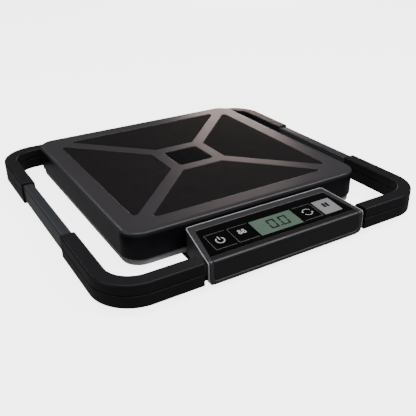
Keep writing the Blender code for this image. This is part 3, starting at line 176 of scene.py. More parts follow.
FOOT_RUBBER, rubber_shader = start_finish(
    "moulded_foot_rubber", IOR=1.5, Specular_IOR_Level=0.25, Sheen_Weight=0.25, Sheen_Roughness=0.5,
    Roughness=0.8,
)
place = add_node(FOOT_RUBBER, "TexCoord", {}).outputs["Object"]
dust = add_node(FOOT_RUBBER, "TexNoise", {"Vector": place, "Scale": 1 / (2.5 * MM), "Detail": 6.0})
tone = add_node(
    FOOT_RUBBER,
    "Mix",
    {0: dust.outputs["Fac"], 6: linear("#141314"), 7: linear("#2b2a2a")},
    data_type="RGBA",
)
skin = add_node(
    FOOT_RUBBER, "Bump", {"Height": dust.outputs["Fac"], "Distance": 0.05 * MM, "Strength": 0.5}
)
feed(rubber_shader, Base_Color=tone.outputs[2], Normal=skin.outputs["Normal"])

for corner in CORNERS:
    low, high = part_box(f"foot_{corner}")
    middle = (low + high) / 2
    radius = (high.x - low.x) / 2
    stem = 3.7 * MM
    profile = [
        (radius - 4.2 * MM, 0.5 * MM),
        (radius - 3.9 * MM, 0.0),
        (radius - 1.6 * MM, 0.0),
        (radius - 0.9 * MM, 0.35 * MM),
        (radius - 0.7 * MM, 1.0 * MM),
        (radius - 0.4 * MM, 2.6 * MM),
        (radius - 0.9 * MM, 2.9 * MM),
        (radius - 0.9 * MM, 3.3 * MM),
        (radius - 0.3 * MM, 3.6 * MM),
        (radius, 5.4 * MM),
        (radius - 0.3 * MM, 6.4 * MM),
        (radius - 1.2 * MM, 7.2 * MM),
        (radius - 1.8 * MM, 7.5 * MM),
        (stem, 7.5 * MM),
        (stem, high.z - 0.8 * MM),
        (stem - 0.8 * MM, high.z),
    ]
    bm = bmesh.new()
    turned(bm, profile, (middle.x, middle.y, 0))
    finish_piece(f"rubber_foot_{corner}", bm, FOOT_RUBBER, "foot_rubber", "root", f"foot_{corner}")


# ---- Load cells and load plate ----
# Four bending-beam cells milled from aluminium bar stand in the tray's corners. A pressed and
# galvanised steel plate rests on them by its four dimples and carries the cover.

# The cutter leaves fine bright and dull lines along the bar.
CELL_ALUMINIUM, alu_shader = start_finish("milled_aluminium", Metallic=1.0)
place = add_node(CELL_ALUMINIUM, "TexCoord", {}).outputs["Object"]
cuts = add_node(CELL_ALUMINIUM, "Mapping", {"Vector": place, "Scale": (60, 1600, 1600)})
lay = add_node(CELL_ALUMINIUM, "TexNoise", {"Vector": cuts.outputs["Vector"], "Scale": 1.0, "Detail": 2.0})
tone = add_node(
    CELL_ALUMINIUM,
    "Mix",
    {0: lay.outputs["Fac"], 6: linear("#b4b6b8"), 7: linear("#d3d5d6")},
    data_type="RGBA",
)
sheen = add_node(
    CELL_ALUMINIUM, "MapRange", {"Value": lay.outputs["Fac"], "To Min": 0.24, "To Max": 0.44}
)
milled = add_node(
    CELL_ALUMINIUM, "Bump", {"Height": lay.outputs["Fac"], "Distance": 0.01 * MM, "Strength": 0.5}
)
feed(
    alu_shader, Base_Color=tone.outputs[2], Roughness=sheen.outputs["Result"],
    Normal=milled.outputs["Normal"],
)
dress(CELL_ALUMINIUM, "aluminium", *[f"load_cell_{corner}" for corner in CORNERS])

# Hot-dip zinc freezes in spangles some 6 mm across, each turned its own way to the light.
ZINC, zinc_shader = start_finish("galvanised_steel", Metallic=1.0)
place = add_node(ZINC, "TexCoord", {}).outputs["Object"]
spangle = add_node(ZINC, "TexVoronoi", {"Vector": place, "Scale": 1 / (6 * MM), "Randomness": 1.0})
facet = add_node(ZINC, "SeparateColor", {"Color": spangle.outputs["Color"]})
tone = add_node(
    ZINC, "Mix", {0: facet.outputs["Red"], 6: linear("#8f9498"), 7: linear("#c2c6c9")}, data_type="RGBA"
)
sheen = add_node(ZINC, "MapRange", {"Value": facet.outputs["Green"], "To Min": 0.28, "To Max": 0.5})
feed(zinc_shader, Base_Color=tone.outputs[2], Roughness=sheen.outputs["Result"])
dress(ZINC, "zinc_steel", "load_plate")


# ---- Circuit boards and data socket ----
# The summing board in the tray and the display's board are green FR4, with copper tracks under
# the solder resist. The socket's can is folded from nickel-plated steel, which has a warm shine.

BOARD_FR4, board_shader = start_finish("solder_resist_on_fr4", IOR=1.5, Roughness=0.32, Coat_Weight=0.3)
place = add_node(BOARD_FR4, "TexCoord", {}).outputs["Object"]
tracks = add_node(
    BOARD_FR4,
    "TexBrick",
    {"Vector": place, "Scale": 1.0, "Mortar Size": 0.35 * MM, "Brick Width": 7 * MM, "Row Height": 2.2 * MM,
     "Color1": linear("#0f5a34"), "Color2": linear("#11623a"), "Mortar": linear("#2c8a58")},
)
relief = add_node(
    BOARD_FR4, "Bump", {"Height": tracks.outputs["Fac"], "Distance": 0.04 * MM, "Strength": 0.6}
)
feed(board_shader, Base_Color=tracks.outputs["Color"], Normal=relief.outputs["Normal"])
dress(BOARD_FR4, "circuit_board", "sensor_board", "display_board")


def hazed_finish(name, dark, light, smooth, rough, patch, detail=4.0, **sockets):
    """A finish that clouds a little in its colour and its shine, in patches of about one size."""
    made, shader = start_finish(name, **sockets)
    place = add_node(made, "TexCoord", {}).outputs["Object"]
    haze = add_node(made, "TexNoise", {"Vector": place, "Scale": 1 / patch, "Detail": detail})
    tone = add_node(
        made, "Mix", {0: haze.outputs["Fac"], 6: linear(dark), 7: linear(light)}, data_type="RGBA"
    )
    sheen = add_node(made, "MapRange", {"Value": haze.outputs["Fac"], "To Min": smooth, "To Max": rough})
    feed(shader, Base_Color=tone.outputs[2], Roughness=sheen.outputs["Result"])
    return made


NICKEL = hazed_finish("nickel_plated_steel", "#a7a49c", "#cfccc4", 0.2, 0.38, 1.5 * MM, Metallic=1.0)
dress(NICKEL, "zinc_steel", "data_socket", "battery_contact_front", "battery_contact_rear")


# ---- Batteries ----
# Three AA cells lie side by side in a black moulded bay. Each has a jacket of printed foil,
# satin and a little scuffed, in dull blue with a gold band at one end.

JACKET, jacket_shader = start_finish("printed_battery_foil", Metallic=0.35, Coat_Weight=0.6)
place = add_node(JACKET, "TexCoord", {}).outputs["Object"]
along = add_node(JACKET, "SeparateXYZ", {"Vector": place})
end_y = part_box("battery_1")[0].y
band = add_node(
    JACKET,
    "MapRange",
    {"Value": along.outputs["Y"], "From Min": end_y + 14 * MM, "From Max": end_y + 15 * MM},
)
scuff = add_node(JACKET, "TexNoise", {"Vector": place, "Scale": 1 / (3 * MM), "Detail": 5.0})
tone = add_node(
    JACKET,
    "Mix",
    {0: band.outputs["Result"], 6: linear("#b08a4a"), 7: linear("#2c3a57")},
    data_type="RGBA",
)
sheen = add_node(JACKET, "MapRange", {"Value": scuff.outputs["Fac"], "To Min": 0.25, "To Max": 0.4})
feed(jacket_shader, Base_Color=tone.outputs[2], Roughness=sheen.outputs["Result"])
dress(JACKET, "cell_jacket", "battery_1", "battery_2", "battery_3")

# Black ABS from a finely grained tool keeps a low, even sheen.
BLACK_ABS = grained_plastic("black_grained_abs", "#19181b", "#222124", 0.42, 1.3 * MM, 0.02 * MM, 0.2)
dress(BLACK_ABS, "black_moulding", "battery_bay")


# ---- Platform cover ----
# One ABS moulding painted in satin charcoal. Its edge rolls over into a straight skirt, and five
# pockets with softly rounded rims are sunk in its top for the four pads and the badge.

cover_low, cover_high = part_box("platform_cover")
CENTRE_Y = (cover_low.y + cover_high.y) / 2
COVER_HALF = cover_high.x
COVER_TOP = cover_high.z
COVER_CORNER = 22 * MM
ROLL_WIDTH = 6 * MM
ROLL_DROP = 2.5 * MM
COVER_WALL = 1.8 * MM
POCKET_DEPTH = 1.8 * MM
POCKET_RIM = 0.9 * MM
PAD_BORDER = 23.5 * MM
RIB_WIDTH = 16.4 * MM
BADGE_HALF = 23.75 * MM
BADGE_CORNER = 5 * MM
BADGE_RIM = 15 * MM
PAD_CORNER = 3.5 * MM
PAD_SKEW = 2.6 * MM


def rounded(corners, steps=12):
    """An outline through (x, y, radius) corners, with an arc at each rounded one. It is closed, or
    open between a first and a last corner without a radius."""
    points = []
    for i, (x, y, radius) in enumerate(corners):
        here = Vector((x, y))
        if not radius:
            points.append((x, y))
            continue
        back = (Vector(corners[i - 1][:2]) - here).normalized()
        ahead = (Vector(corners[(i + 1) % len(corners)][:2]) - here).normalized()
        half_angle = back.angle(ahead) / 2
        centre = here + (back + ahead).normalized() * (radius / math.sin(half_angle))
        first = here + back * (radius / math.tan(half_angle)) - centre
        last = here + ahead * (radius / math.tan(half_angle)) - centre
        start = math.atan2(first.y, first.x)
        sweep_angle = math.atan2(first.x * last.y - first.y * last.x, first.dot(last))
        for step in range(steps + 1):
            turn = start + sweep_angle * step / steps
            points.append((centre.x + radius * math.cos(turn), centre.y + radius * math.sin(turn)))
    return points


def square(half, corner, steps=16):
    return rounded([(sx * half, sy * half, corner) for sx, sy in ((-1, -1), (1, -1), (1, 1), (-1, 1))], steps)


def pad_outline(shrink, turn):
    """One trapezoid between the ribs, turned about the platform's centre. The side pads are a
    little longer than the front and rear ones."""
    inner = BADGE_HALF + BADGE_RIM + shrink
    outer = COVER_HALF - PAD_BORDER - shrink
    offset = RIB_WIDTH / math.sqrt(2) + shrink * math.sqrt(2)
    tip = outer - offset + (PAD_SKEW if abs(math.sin(turn)) > 0.5 else -PAD_SKEW)
    radius = PAD_CORNER - shrink
    corners = (
        (-(inner - offset), -inner, radius), (-tip, -outer, radius),
        (tip, -outer, radius), (inner - offset, -inner, radius),
    )
    spin = Matrix.Rotation(turn, 2)
    return [tuple(spin @ Vector(point)) for point in rounded(corners, 8)]


def on_platform(outline, height):
    return [Vector((x, y + CENTRE_Y, height)) for x, y in outline]


def quarter(steps):
    """The sine and cosine at even steps of a quarter turn."""
    return [(math.sin(math.pi / 2 * i / steps), math.cos(math.pi / 2 * i / steps)) for i in range(steps + 1)]


bm = bmesh.new()
rings = [on_platform(square(COVER_HALF - ROLL_WIDTH - 0.6 * MM, COVER_CORNER - ROLL_WIDTH), COVER_TOP)]
for sine, cosine in quarter(10):
    inset = ROLL_WIDTH * (1 - sine)
    rings.append(
        on_platform(square(COVER_HALF - inset, COVER_CORNER - inset), COVER_TOP - ROLL_DROP * (1 - cosine))
    )
EDGE = 0.6 * MM
rings.append(on_platform(square(COVER_HALF, COVER_CORNER), COVER_TOP - ROLL_DROP - 1.2 * MM))
hem = ((0, EDGE), (EDGE * 0.3, EDGE * 0.3), (EDGE, 0), (COVER_WALL - EDGE, 0), (COVER_WALL, EDGE))
for inset, rise in hem:
    rings.append(on_platform(square(COVER_HALF - inset, COVER_CORNER - inset), cover_low.z + rise))
ceiling = COVER_TOP - POCKET_DEPTH - COVER_WALL
rings.append(on_platform(square(COVER_HALF - COVER_WALL, COVER_CORNER - COVER_WALL), ceiling))
outer_rings = loft(bm, rings, first_cap=False)
borders = [outer_rings[0]]
QUARTERS = (("front", 0.0), ("right", math.pi / 2), ("rear", math.pi), ("left", math.pi * 1.5))
pocket_outlines = [lambda shrink, turn=turn: pad_outline(shrink, turn) for _, turn in QUARTERS]
pocket_outlines.append(lambda shrink: square(BADGE_HALF - shrink, BADGE_CORNER - shrink, 8))
for outline in pocket_outlines:
    rings = [on_platform(outline(-POCKET_RIM - 0.3 * MM), COVER_TOP)]
    for sine, cosine in quarter(5):
        rings.append(on_platform(outline(POCKET_RIM * (sine - 1)), COVER_TOP - POCKET_RIM * (1 - cosine)))
    rings.append(on_platform(outline(0), COVER_TOP - POCKET_DEPTH))
    borders.append(loft(bm, rings, first_cap=False)[0])
edges = []
for border in borders:
    for i, vert in enumerate(border):
        edges.append(bm.edges.get((vert, border[i - 1])))
bmesh.ops.triangle_fill(bm, use_beauty=True, edges=edges)

# Satin two-pack paint over black ABS: an eggshell sheen with a very faint orange peel, and a
# charcoal that is a little uneven in strength. Below the roll the colour fades over 4 mm to near black down
# the skirt.
SATIN_PAINT, paint_shader = start_finish("satin_charcoal_paint", IOR=1.5, Specular_IOR_Level=0.36)
place = add_node(SATIN_PAINT, "TexCoord", {}).outputs["Object"]
cloud = add_node(SATIN_PAINT, "TexNoise", {"Vector": place, "Scale": 1 / (60 * MM), "Detail": 4.0})
spray = add_node(
    SATIN_PAINT,
    "Mix",
    {0: cloud.outputs["Fac"], 6: linear("#383639"), 7: linear("#413f43")},
    data_type="RGBA",
)
height = add_node(SATIN_PAINT, "SeparateXYZ", {"Vector": place})
# The colour fades to near black from the foot of the roll down over the skirt.
skirt_darkening = add_node(
    SATIN_PAINT,
    "MapRange",
    {"Value": height.outputs["Z"], "From Min": COVER_TOP - ROLL_DROP - 4 * MM,
     "From Max": COVER_TOP - ROLL_DROP},
)
tone = add_node(
    SATIN_PAINT,
    "Mix",
    {0: skirt_darkening.outputs["Result"], 6: linear("#131317"), 7: spray.outputs[2]},
    data_type="RGBA",
)
rub = add_node(SATIN_PAINT, "TexNoise", {"Vector": place, "Scale": 1 / (18 * MM), "Detail": 3.0})
sheen = add_node(
    SATIN_PAINT,
    "MapRange",
    {"Value": rub.outputs["Fac"], "From Min": 0.3, "From Max": 0.7, "To Min": 0.3, "To Max": 0.35},
)
peel = add_node(SATIN_PAINT, "TexNoise", {"Vector": place, "Scale": 1 / (2 * MM), "Detail": 1.0})
bump = add_node(
    SATIN_PAINT, "Bump", {"Height": peel.outputs["Fac"], "Distance": 0.003 * MM, "Strength": 0.5}
)
feed(
    paint_shader, Base_Color=tone.outputs[2], Roughness=sheen.outputs["Result"],
    Normal=bump.outputs["Normal"],
)
finish_piece("painted_cover", bm, SATIN_PAINT, "satin_charcoal", "platform", "platform_cover")


# ---- Pads ----
# Four sheets of black rubberised plastic, die-cut to the pockets and glued in. Each is embossed
# all over with small round pips in staggered rows, which give the load its grip.

PIP_PITCH = 2.4 * MM
PIP_RADIUS = 0.85 * MM
PIP_HEIGHT = 0.3 * MM
PAD_GAP = 0.3 * MM
PAD_EDGE = 0.25 * MM

PAD_RUBBER, pad_shader = start_finish(
    "embossed_black_rubber", IOR=1.5, Specular_IOR_Level=0.1, Roughness=0.72
)
place = add_node(PAD_RUBBER, "TexCoord", {}).outputs["Object"]
cloud = add_node(PAD_RUBBER, "TexNoise", {"Vector": place, "Scale": 1 / (25 * MM), "Detail": 5.0})
tone = add_node(
    PAD_RUBBER, "Mix", {0: cloud.outputs["Fac"], 6: linear("#171616"), 7: linear("#201e1f")}, data_type="RGBA"
)
fine = add_node(PAD_RUBBER, "TexNoise", {"Vector": place, "Scale": 1 / (0.7 * MM), "Detail": 2.0})
bump = add_node(
    PAD_RUBBER, "Bump", {"Height": fine.outputs["Fac"], "Distance": 0.02 * MM, "Strength": 0.5}
)
feed(pad_shader, Base_Color=tone.outputs[2], Normal=bump.outputs["Normal"])

for side, turn in QUARTERS:
    low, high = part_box(f"platform_pad_{side}")
    bm = bmesh.new()
    rings = [on_platform(pad_outline(PAD_GAP, turn), low.z)]
    for sine, cosine in quarter(3):
        rings.append(
            on_platform(pad_outline(PAD_GAP + PAD_EDGE * (1 - cosine), turn), high.z - PAD_EDGE * (1 - sine))
        )
    loft(bm, rings)
    reach = COVER_HALF - PAD_BORDER - PAD_GAP - PIP_RADIUS - 0.8 * MM
    near = BADGE_HALF + BADGE_RIM + PAD_GAP + PIP_RADIUS + 0.8 * MM
    rib = (RIB_WIDTH / 2 + PIP_RADIUS + 1.2 * MM) * math.sqrt(2)
    skew = PAD_SKEW if side in ("left", "right") else -PAD_SKEW
    spin = Matrix.Rotation(turn, 2)
    row_pitch = PIP_PITCH * math.sqrt(3) / 2
    for row in range(int((reach - near) / row_pitch) + 1):
        y = near + row * row_pitch
        shift = PIP_PITCH / 2 * (row % 2)
        half_row = y - rib + skew * (y - near) / (reach - near)
        count = int((half_row - shift) / PIP_PITCH)
        for column in range(-count - (row % 2), count + 1):
            x = column * PIP_PITCH + shift
            centre = spin @ Vector((x, -y))
            at = Vector((centre.x, centre.y + CENTRE_Y, high.z))
            tip = bm.verts.new(at + Vector((0, 0, PIP_HEIGHT)))
            base = []
            for k in range(6):
                out = Vector((math.cos(math.pi / 3 * k), math.sin(math.pi / 3 * k), 0))
                base.append(bm.verts.new(at + out * PIP_RADIUS))
            for k in range(6):
                bm.faces.new((base[k], base[(k + 1) % 6], tip))
    finish_piece(
        f"grip_pad_{side}", bm, PAD_RUBBER, "ribbed_rubber", "platform", f"platform_pad_{side}",
        crisp=60, even=False,
    )


# ---- Centre badge ----
# A plain square of black acrylic with a polished face and softly rounded edges, glued in the
# middle pocket. It carries no mark.

GLOSS_BLACK = hazed_finish(
    "black_polished_acrylic", "#030403", "#080908", 0.05, 0.12, 8 * MM, 5.0, IOR=1.49, Specular_IOR_Level=0.35
)

low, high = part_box("centre_badge")
BADGE_EDGE = 0.6 * MM
bm = bmesh.new()
rings = [on_platform(square(BADGE_HALF - PAD_GAP, BADGE_CORNER - PAD_GAP, 8), low.z)]
for sine, cosine in quarter(4):
    inset = PAD_GAP + BADGE_EDGE * (1 - cosine)
    level = high.z - BADGE_EDGE * (1 - sine)
    rings.append(on_platform(square(BADGE_HALF - inset, BADGE_CORNER - inset, 8), level))
loft(bm, rings)
finish_piece("acrylic_badge", bm, GLOSS_BLACK, "black_gloss", "platform", "centre_badge")


# ---- Handle mouldings ----
# The rear rail and the two front corners are pairs of black ABS half shells, held by screws from
# below. Each pair meets in a fine groove half way up, and a flat end wall closes each bar.

rail_low, rail_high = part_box("rear_rail_upper")
lower_low, lower_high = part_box("rear_rail_lower")
front_low, front_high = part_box("front_corner_right_upper")
BAR = 16.6 * MM
BAR_TOP_EDGE = 2.2 * MM
BAR_LOWER_EDGE = 0.8 * MM
SHELL_WALL = 1.6 * MM
PARTING_CHAMFER = 0.25 * MM
PARTING_GAP = 0.35 * MM
FRAME_CORNER = 45 * MM
END_BLOCK = 18 * MM
FRAME_X = rail_high.x - BAR / 2
RAIL_Y = rail_high.y - BAR / 2
FRONT_Y = front_low.y + BAR / 2


def sweep(bm, path, profile):
    """Skins a closed (offset, height) profile along a level path, mitred at each point."""
    rings = []
    for i, (x, y) in enumerate(path):
        here = Vector((x, y))
        into = (here - Vector(path[i - 1])).normalized() if i else None
        out = (Vector(path[i + 1]) - here).normalized() if i < len(path) - 1 else into
        into = into or out
        run = (into + out).normalized()
        normal = Vector((-run.y, run.x)) / max(run.dot(into), 0.2)
        rings.append([Vector((x + normal.x * offset, y + normal.y * offset, z)) for offset, z in profile])
    loft(bm, rings)


def half_shell_profile(parting, outer):
    """A U-shaped section between the parting line and the outer face, above or below it."""
    way = 1 if outer > parting else -1
    edge = BAR_TOP_EDGE if way > 0 else BAR_LOWER_EDGE
    half, points = BAR / 2, []
    points += [(half - PARTING_CHAMFER, parting), (half, parting + way * PARTING_CHAMFER)]
    for sine, cosine in quarter(6):
        points.append((half - edge * (1 - cosine), outer - way * edge * (1 - sine)))
    for sine, cosine in quarter(6)[::-1]:
        points.append((-half + edge * (1 - cosine), outer - way * edge * (1 - sine)))
    points += [(-half, parting + way * PARTING_CHAMFER), (-half + PARTING_CHAMFER, parting)]
    inner = outer - way * SHELL_WALL
    points += [(-half + SHELL_WALL, parting), (-half + SHELL_WALL, inner)]
    points += [(half - SHELL_WALL, inner), (half - SHELL_WALL, parting)]
    return points


bar_radius = FRAME_CORNER - BAR / 2
rail_path = rounded(
    (
        (FRAME_X, rail_low.y, 0), (FRAME_X, RAIL_Y, bar_radius),
        (-FRAME_X, RAIL_Y, bar_radius), (-FRAME_X, rail_low.y, 0),
    ),
    28,
)
halves = (
    ("upper", rail_low.z + PARTING_GAP, rail_high.z), ("lower", lower_high.z - PARTING_GAP, lower_low.z)
)
for half_name, parting, outer in halves:
    profile = half_shell_profile(parting, outer)
    bm = bmesh.new()
    sweep(bm, rail_path, profile)
    finish_piece(
        f"rail_shell_{half_name}", bm, BLACK_ABS, "black_moulding", "root", f"rear_rail_{half_name}",
        crisp=40,
    )
    for side, way in (("left", -1), ("right", 1)):
        bar_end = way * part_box("front_corner_right_upper")[0].x
        bar_x = way * FRAME_X
        corner_path = rounded(
            ((bar_x, front_high.y, 0), (bar_x, FRONT_Y, bar_radius), (bar_end, FRONT_Y, 0)), 28
        )
        bm = bmesh.new()
        sweep(bm, corner_path, profile)
        clear = 0.05 * MM
        level = sorted((parting, outer - math.copysign(SHELL_WALL + clear, outer - parting)))
        inside = BAR / 2 - SHELL_WALL - clear
        block = [
            [Vector((bar_end + way * reach, FRONT_Y + y, z)) for y, z in
             ((-inside, level[0]), (inside, level[0]), (inside, level[1]), (-inside, level[1]))]
            for reach in (0, END_BLOCK)
        ]
        loft(bm, block)
        finish_piece(
            f"corner_shell_{side}_{half_name}", bm, BLACK_ABS, "black_moulding", "root",
            f"front_corner_{side}_{half_name}", crisp=40,
        )


# ---- Side tubes ----
# Two lengths of drawn steel tube with rounded corners, painted a dark satin grey. They push
# 25 mm into the mouldings at both ends, and the paint shows faint streaks along the draw.

TUBE_EDGE = 2.5 * MM

TUBE_PAINT, tube_shader = start_finish("dark_grey_tube_paint", IOR=1.5, Metallic=0.2, Coat_Weight=0.15)
place = add_node(TUBE_PAINT, "TexCoord", {}).outputs["Object"]
drawn = add_node(TUBE_PAINT, "Mapping", {"Vector": place, "Scale": (700, 12, 700)})
streak = add_node(TUBE_PAINT, "TexNoise", {"Vector": drawn.outputs["Vector"], "Scale": 1.0, "Detail": 3.0})
hue = add_node(TUBE_PAINT, "TexNoise", {"Vector": place, "Scale": 1 / (50 * MM), "Detail": 2.0})
tint = add_node(
    TUBE_PAINT, "Mix", {0: hue.outputs["Fac"], 6: linear("#30383a"), 7: linear("#37353e")}, data_type="RGBA"
)
tone = add_node(
    TUBE_PAINT,
    "Mix",
    {0: streak.outputs["Fac"], 6: tint.outputs[2], 7: linear("#43474a")},
    data_type="RGBA",
)
sheen = add_node(TUBE_PAINT, "MapRange", {"Value": streak.outputs["Fac"], "To Min": 0.26, "To Max": 0.42})
bump = add_node(
    TUBE_PAINT, "Bump", {"Height": streak.outputs["Fac"], "Distance": 0.015 * MM, "Strength": 0.5}
)
feed(
    tube_shader, Base_Color=tone.outputs[2], Roughness=sheen.outputs["Result"],
    Normal=bump.outputs["Normal"],
)

for side in ("left", "right"):
    low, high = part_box(f"side_tube_{side}")
    corners = ((low.x, low.z), (high.x, low.z), (high.x, high.z), (low.x, high.z))
    section = rounded([(x, z, TUBE_EDGE) for x, z in corners], 8)
    bm = bmesh.new()
    loft(bm, [[Vector((x, y, z)) for x, z in section] for y in (low.y, high.y)])
    finish_piece(f"drawn_tube_{side}", bm, TUBE_PAINT, "grey_tube", "root", f"side_tube_{side}", crisp=40)


# ---- Screws ----
# Pan-head screws in zinc-plated steel hold the load cells, the mouldings, the dock and the bar
# ends. The plating is bright, with a slight haze.

PLATED_ZINC = hazed_finish("bright_zinc_plate", "#9aa0a8", "#c9cdd2", 0.22, 0.4, 2 * MM, Metallic=1.0)
SCREWS = [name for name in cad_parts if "_screw" in name]
dress(PLATED_ZINC, "zinc_steel", *SCREWS)


# ---- Display dock ----
# A dull black ABS plate fixed under the tray and to the two bar ends. The display head slides
# off its two runners towards the front.

DOCK_ABS = grained_plastic("black_dock_abs", "#111013", "#18171a", 0.5, 1.0 * MM, 0.03 * MM, 0.3)
dress(DOCK_ABS, "black_moulding", "display_dock")


# ---- Display head: tub ----
# The tub behind the bezel is one satin moulding in dark grey ABS: floor, flanks and back, with
# two grooves in its floor that run on the dock. Its corners are rounded under the front.

bezel_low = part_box("head_bezel")[0]
shell_low, shell_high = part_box("head_shell")
HEAD_FRONT_Y = bezel_low.y
HEAD_BACK_Y = shell_high.y
HEAD_FRONT_HALF = 99 * MM
HEAD_BACK_HALF = 90.3 * MM
HEAD_TOP_BACK = 40.5 * MM
HEAD_TILT = math.radians(6.5)
HEAD_BOTTOM = shell_low.z
FRONT_ROLL = 4.4 * MM
BOTTOM_ROLL = 5 * MM
HEAD_CORNER = 4.5 * MM
TUB_CORNER = 9.5 * MM
TUB_FLOOR = 2.4 * MM
TUB_WALL = 2 * MM
FLANK_FINE = 8 * MM
RIM = 1.1 * MM
RIM_DROP = 0.6 * MM

roll_y = HEAD_FRONT_Y + FRONT_ROLL
roll_z = HEAD_TOP_BACK + (math.sin(HEAD_TILT) * (roll_y - HEAD_BACK_Y) - FRONT_ROLL) / math.cos(HEAD_TILT)
top_end_y = roll_y - FRONT_ROLL * math.sin(HEAD_TILT)
TOP_LENGTH = (HEAD_BACK_Y - top_end_y) / math.cos(HEAD_TILT)
ROLL_LENGTH = FRONT_ROLL * (math.pi / 2 - HEAD_TILT)
WALL_START = TOP_LENGTH + ROLL_LENGTH
FOOT_START = WALL_START + roll_z - (HEAD_BOTTOM + BOTTOM_ROLL)
FOOT_END = FOOT_START + BOTTOM_ROLL * math.pi / 2


def head_half(y):
    """Half the head's width at y."""
    share = (y - HEAD_FRONT_Y) / (HEAD_BACK_Y - HEAD_FRONT_Y)
    return HEAD_FRONT_HALF + (HEAD_BACK_HALF - HEAD_FRONT_HALF) * share


def head_skin(x, run, lift=0.0):
    """The point a distance along the head's side outline, measured from its back edge down the
    tilted top, over the roll, down the front and under it, and raised by lift off the outline."""
    if run <= TOP_LENGTH:
        normal = Vector((-math.sin(HEAD_TILT), math.cos(HEAD_TILT)))
        point = Vector((HEAD_BACK_Y - run * math.cos(HEAD_TILT), HEAD_TOP_BACK - run * math.sin(HEAD_TILT)))
    elif run <= WALL_START:
        turn = math.pi / 2 + HEAD_TILT + (run - TOP_LENGTH) / FRONT_ROLL
        normal = Vector((math.cos(turn), math.sin(turn)))
        point = Vector((roll_y, roll_z)) + normal * FRONT_ROLL
    elif run <= FOOT_START:
        normal = Vector((-1, 0))
        point = Vector((HEAD_FRONT_Y, roll_z - (run - WALL_START)))
    elif run <= FOOT_END:
        turn = math.pi + (run - FOOT_START) / BOTTOM_ROLL
        normal = Vector((math.cos(turn), math.sin(turn)))
        point = Vector((HEAD_FRONT_Y + BOTTOM_ROLL, HEAD_BOTTOM + BOTTOM_ROLL)) + normal * BOTTOM_ROLL
    else:
        normal = Vector((0, -1))
        point = Vector((HEAD_FRONT_Y + BOTTOM_ROLL + run - FOOT_END, HEAD_BOTTOM))
    point = point + normal * lift
    return Vector((x, point.x, point.y))


def side_top(y):
    """Height of the tub's upper edge at y."""
    radius = FRONT_ROLL - RIM_DROP
    if y < roll_y - radius * math.sin(HEAD_TILT):
        return roll_z + math.sqrt(max(radius**2 - (y - roll_y) ** 2, 0))
    return HEAD_TOP_BACK + (math.sin(HEAD_TILT) * (y - HEAD_BACK_Y) - RIM_DROP) / math.cos(HEAD_TILT)


def side_bottom(y):
    """Height of the tub's underside at y."""
    radius = BOTTOM_ROLL - RIM_DROP
    ahead = HEAD_FRONT_Y + BOTTOM_ROLL - y
    return HEAD_BOTTOM + (radius - math.sqrt(radius**2 - min(ahead, radius) ** 2) if ahead > 0 else 0)


def tub_plan(inset):
    """The tub's plan moved in by inset, with its flanks divided finely near the front."""
    front, back = HEAD_FRONT_Y + RIM_DROP + inset * 0.3, HEAD_BACK_Y - inset
    corner = max(HEAD_CORNER - inset, 0.5 * MM)
    turns = quarter(8)
    flank = [(back - corner + corner * sine, corner * (1 - cosine)) for sine, cosine in turns[::-1]]
    flank += [(back - corner - (back - corner - front - FLANK_FINE) * i / 6, 0) for i in range(1, 6)]
    flank += [(front + FLANK_FINE * cosine, 0) for _, cosine in quarter(12)]
    right = [(head_half(y) - inset - pull, y) for y, pull in flank]
    return [(-x, y) for x, y in right[::-1]] + right


def tub_ring(inset, rise, share):
    """One ring of the tub: rise above its underside, or a share of the way from there to its top."""
    ring = []
    for x, y in tub_plan(inset):
        low = side_bottom(y) + rise
        ring.append(Vector((x, y, low + (side_top(y) - low) * share)))
    return ring


def carve(bm, cutter):
    """Cuts one closed mesh out of another."""
    pair = []
    for source in (bm, cutter):
        bmesh.ops.recalc_face_normals(source, faces=source.faces)
        mesh = bpy.data.meshes.new("carving")
        source.to_mesh(mesh)
        pair.append(bpy.data.objects.new("carving", mesh))
        bpy.context.scene.collection.objects.link(pair[-1])
    cut = pair[0].modifiers.new("cut", "BOOLEAN")
    cut.operation = "DIFFERENCE"
    cut.solver = "EXACT"
    cut.object = pair[1]
    carved = bpy.data.meshes.new_from_object(pair[0].evaluated_get(bpy.context.evaluated_depsgraph_get()))
    bm.clear()
    bm.from_mesh(carved)
    cutter.free()
    for mesh in (carved, pair[0].data, pair[1].data):
        bpy.data.meshes.remove(mesh)


bm = bmesh.new()
corner_rings = [(TUB_CORNER * (1 - sine), TUB_CORNER * (1 - cosine), 0) for sine, cosine in quarter(8)]
rings = [tub_ring(*ring) for ring in corner_rings]
wall_rings = ((0, 0.5), (0, 0.988), (0.3 * MM, 1), (RIM, 1), (RIM, 0.86), (TUB_WALL, 0.86))
rings += [tub_ring(inset, TUB_CORNER, share) for inset, share in wall_rings]
rings += [
    [point + Vector((0, 0, TUB_FLOOR)) for point in tub_ring(inset + TUB_WALL, rise, 0)]
    for inset, rise, _ in corner_rings[::-1]
]
loft(bm, rings)

GROOVE_X = 50 * MM
GROOVE_HALF = 3.3 * MM
GROOVE_START = HEAD_FRONT_Y + 16.7 * MM
GROOVE_TOP = 5.7 * MM
GROOVE_PAST = 5 * MM
for way in (-1, 1):
    groove = bmesh.new()
    ends = (GROOVE_START, HEAD_BACK_Y + GROOVE_PAST)
    section = ((-GROOVE_HALF, 0), (GROOVE_HALF, 0), (GROOVE_HALF, GROOVE_TOP), (-GROOVE_HALF, GROOVE_TOP))
    loft(groove, [[Vector((way * GROOVE_X + x, y, z)) for x, z in section] for y in ends])
    carve(bm, groove)

SHELL_ABS = grained_plastic("dark_shell_abs", "#29292c", "#323235", 0.38, 1.1 * MM, 0.025 * MM, 0.4)
finish_piece("head_tub", bm, SHELL_ABS, "black_moulding", "head", "head_shell", crisp=35)
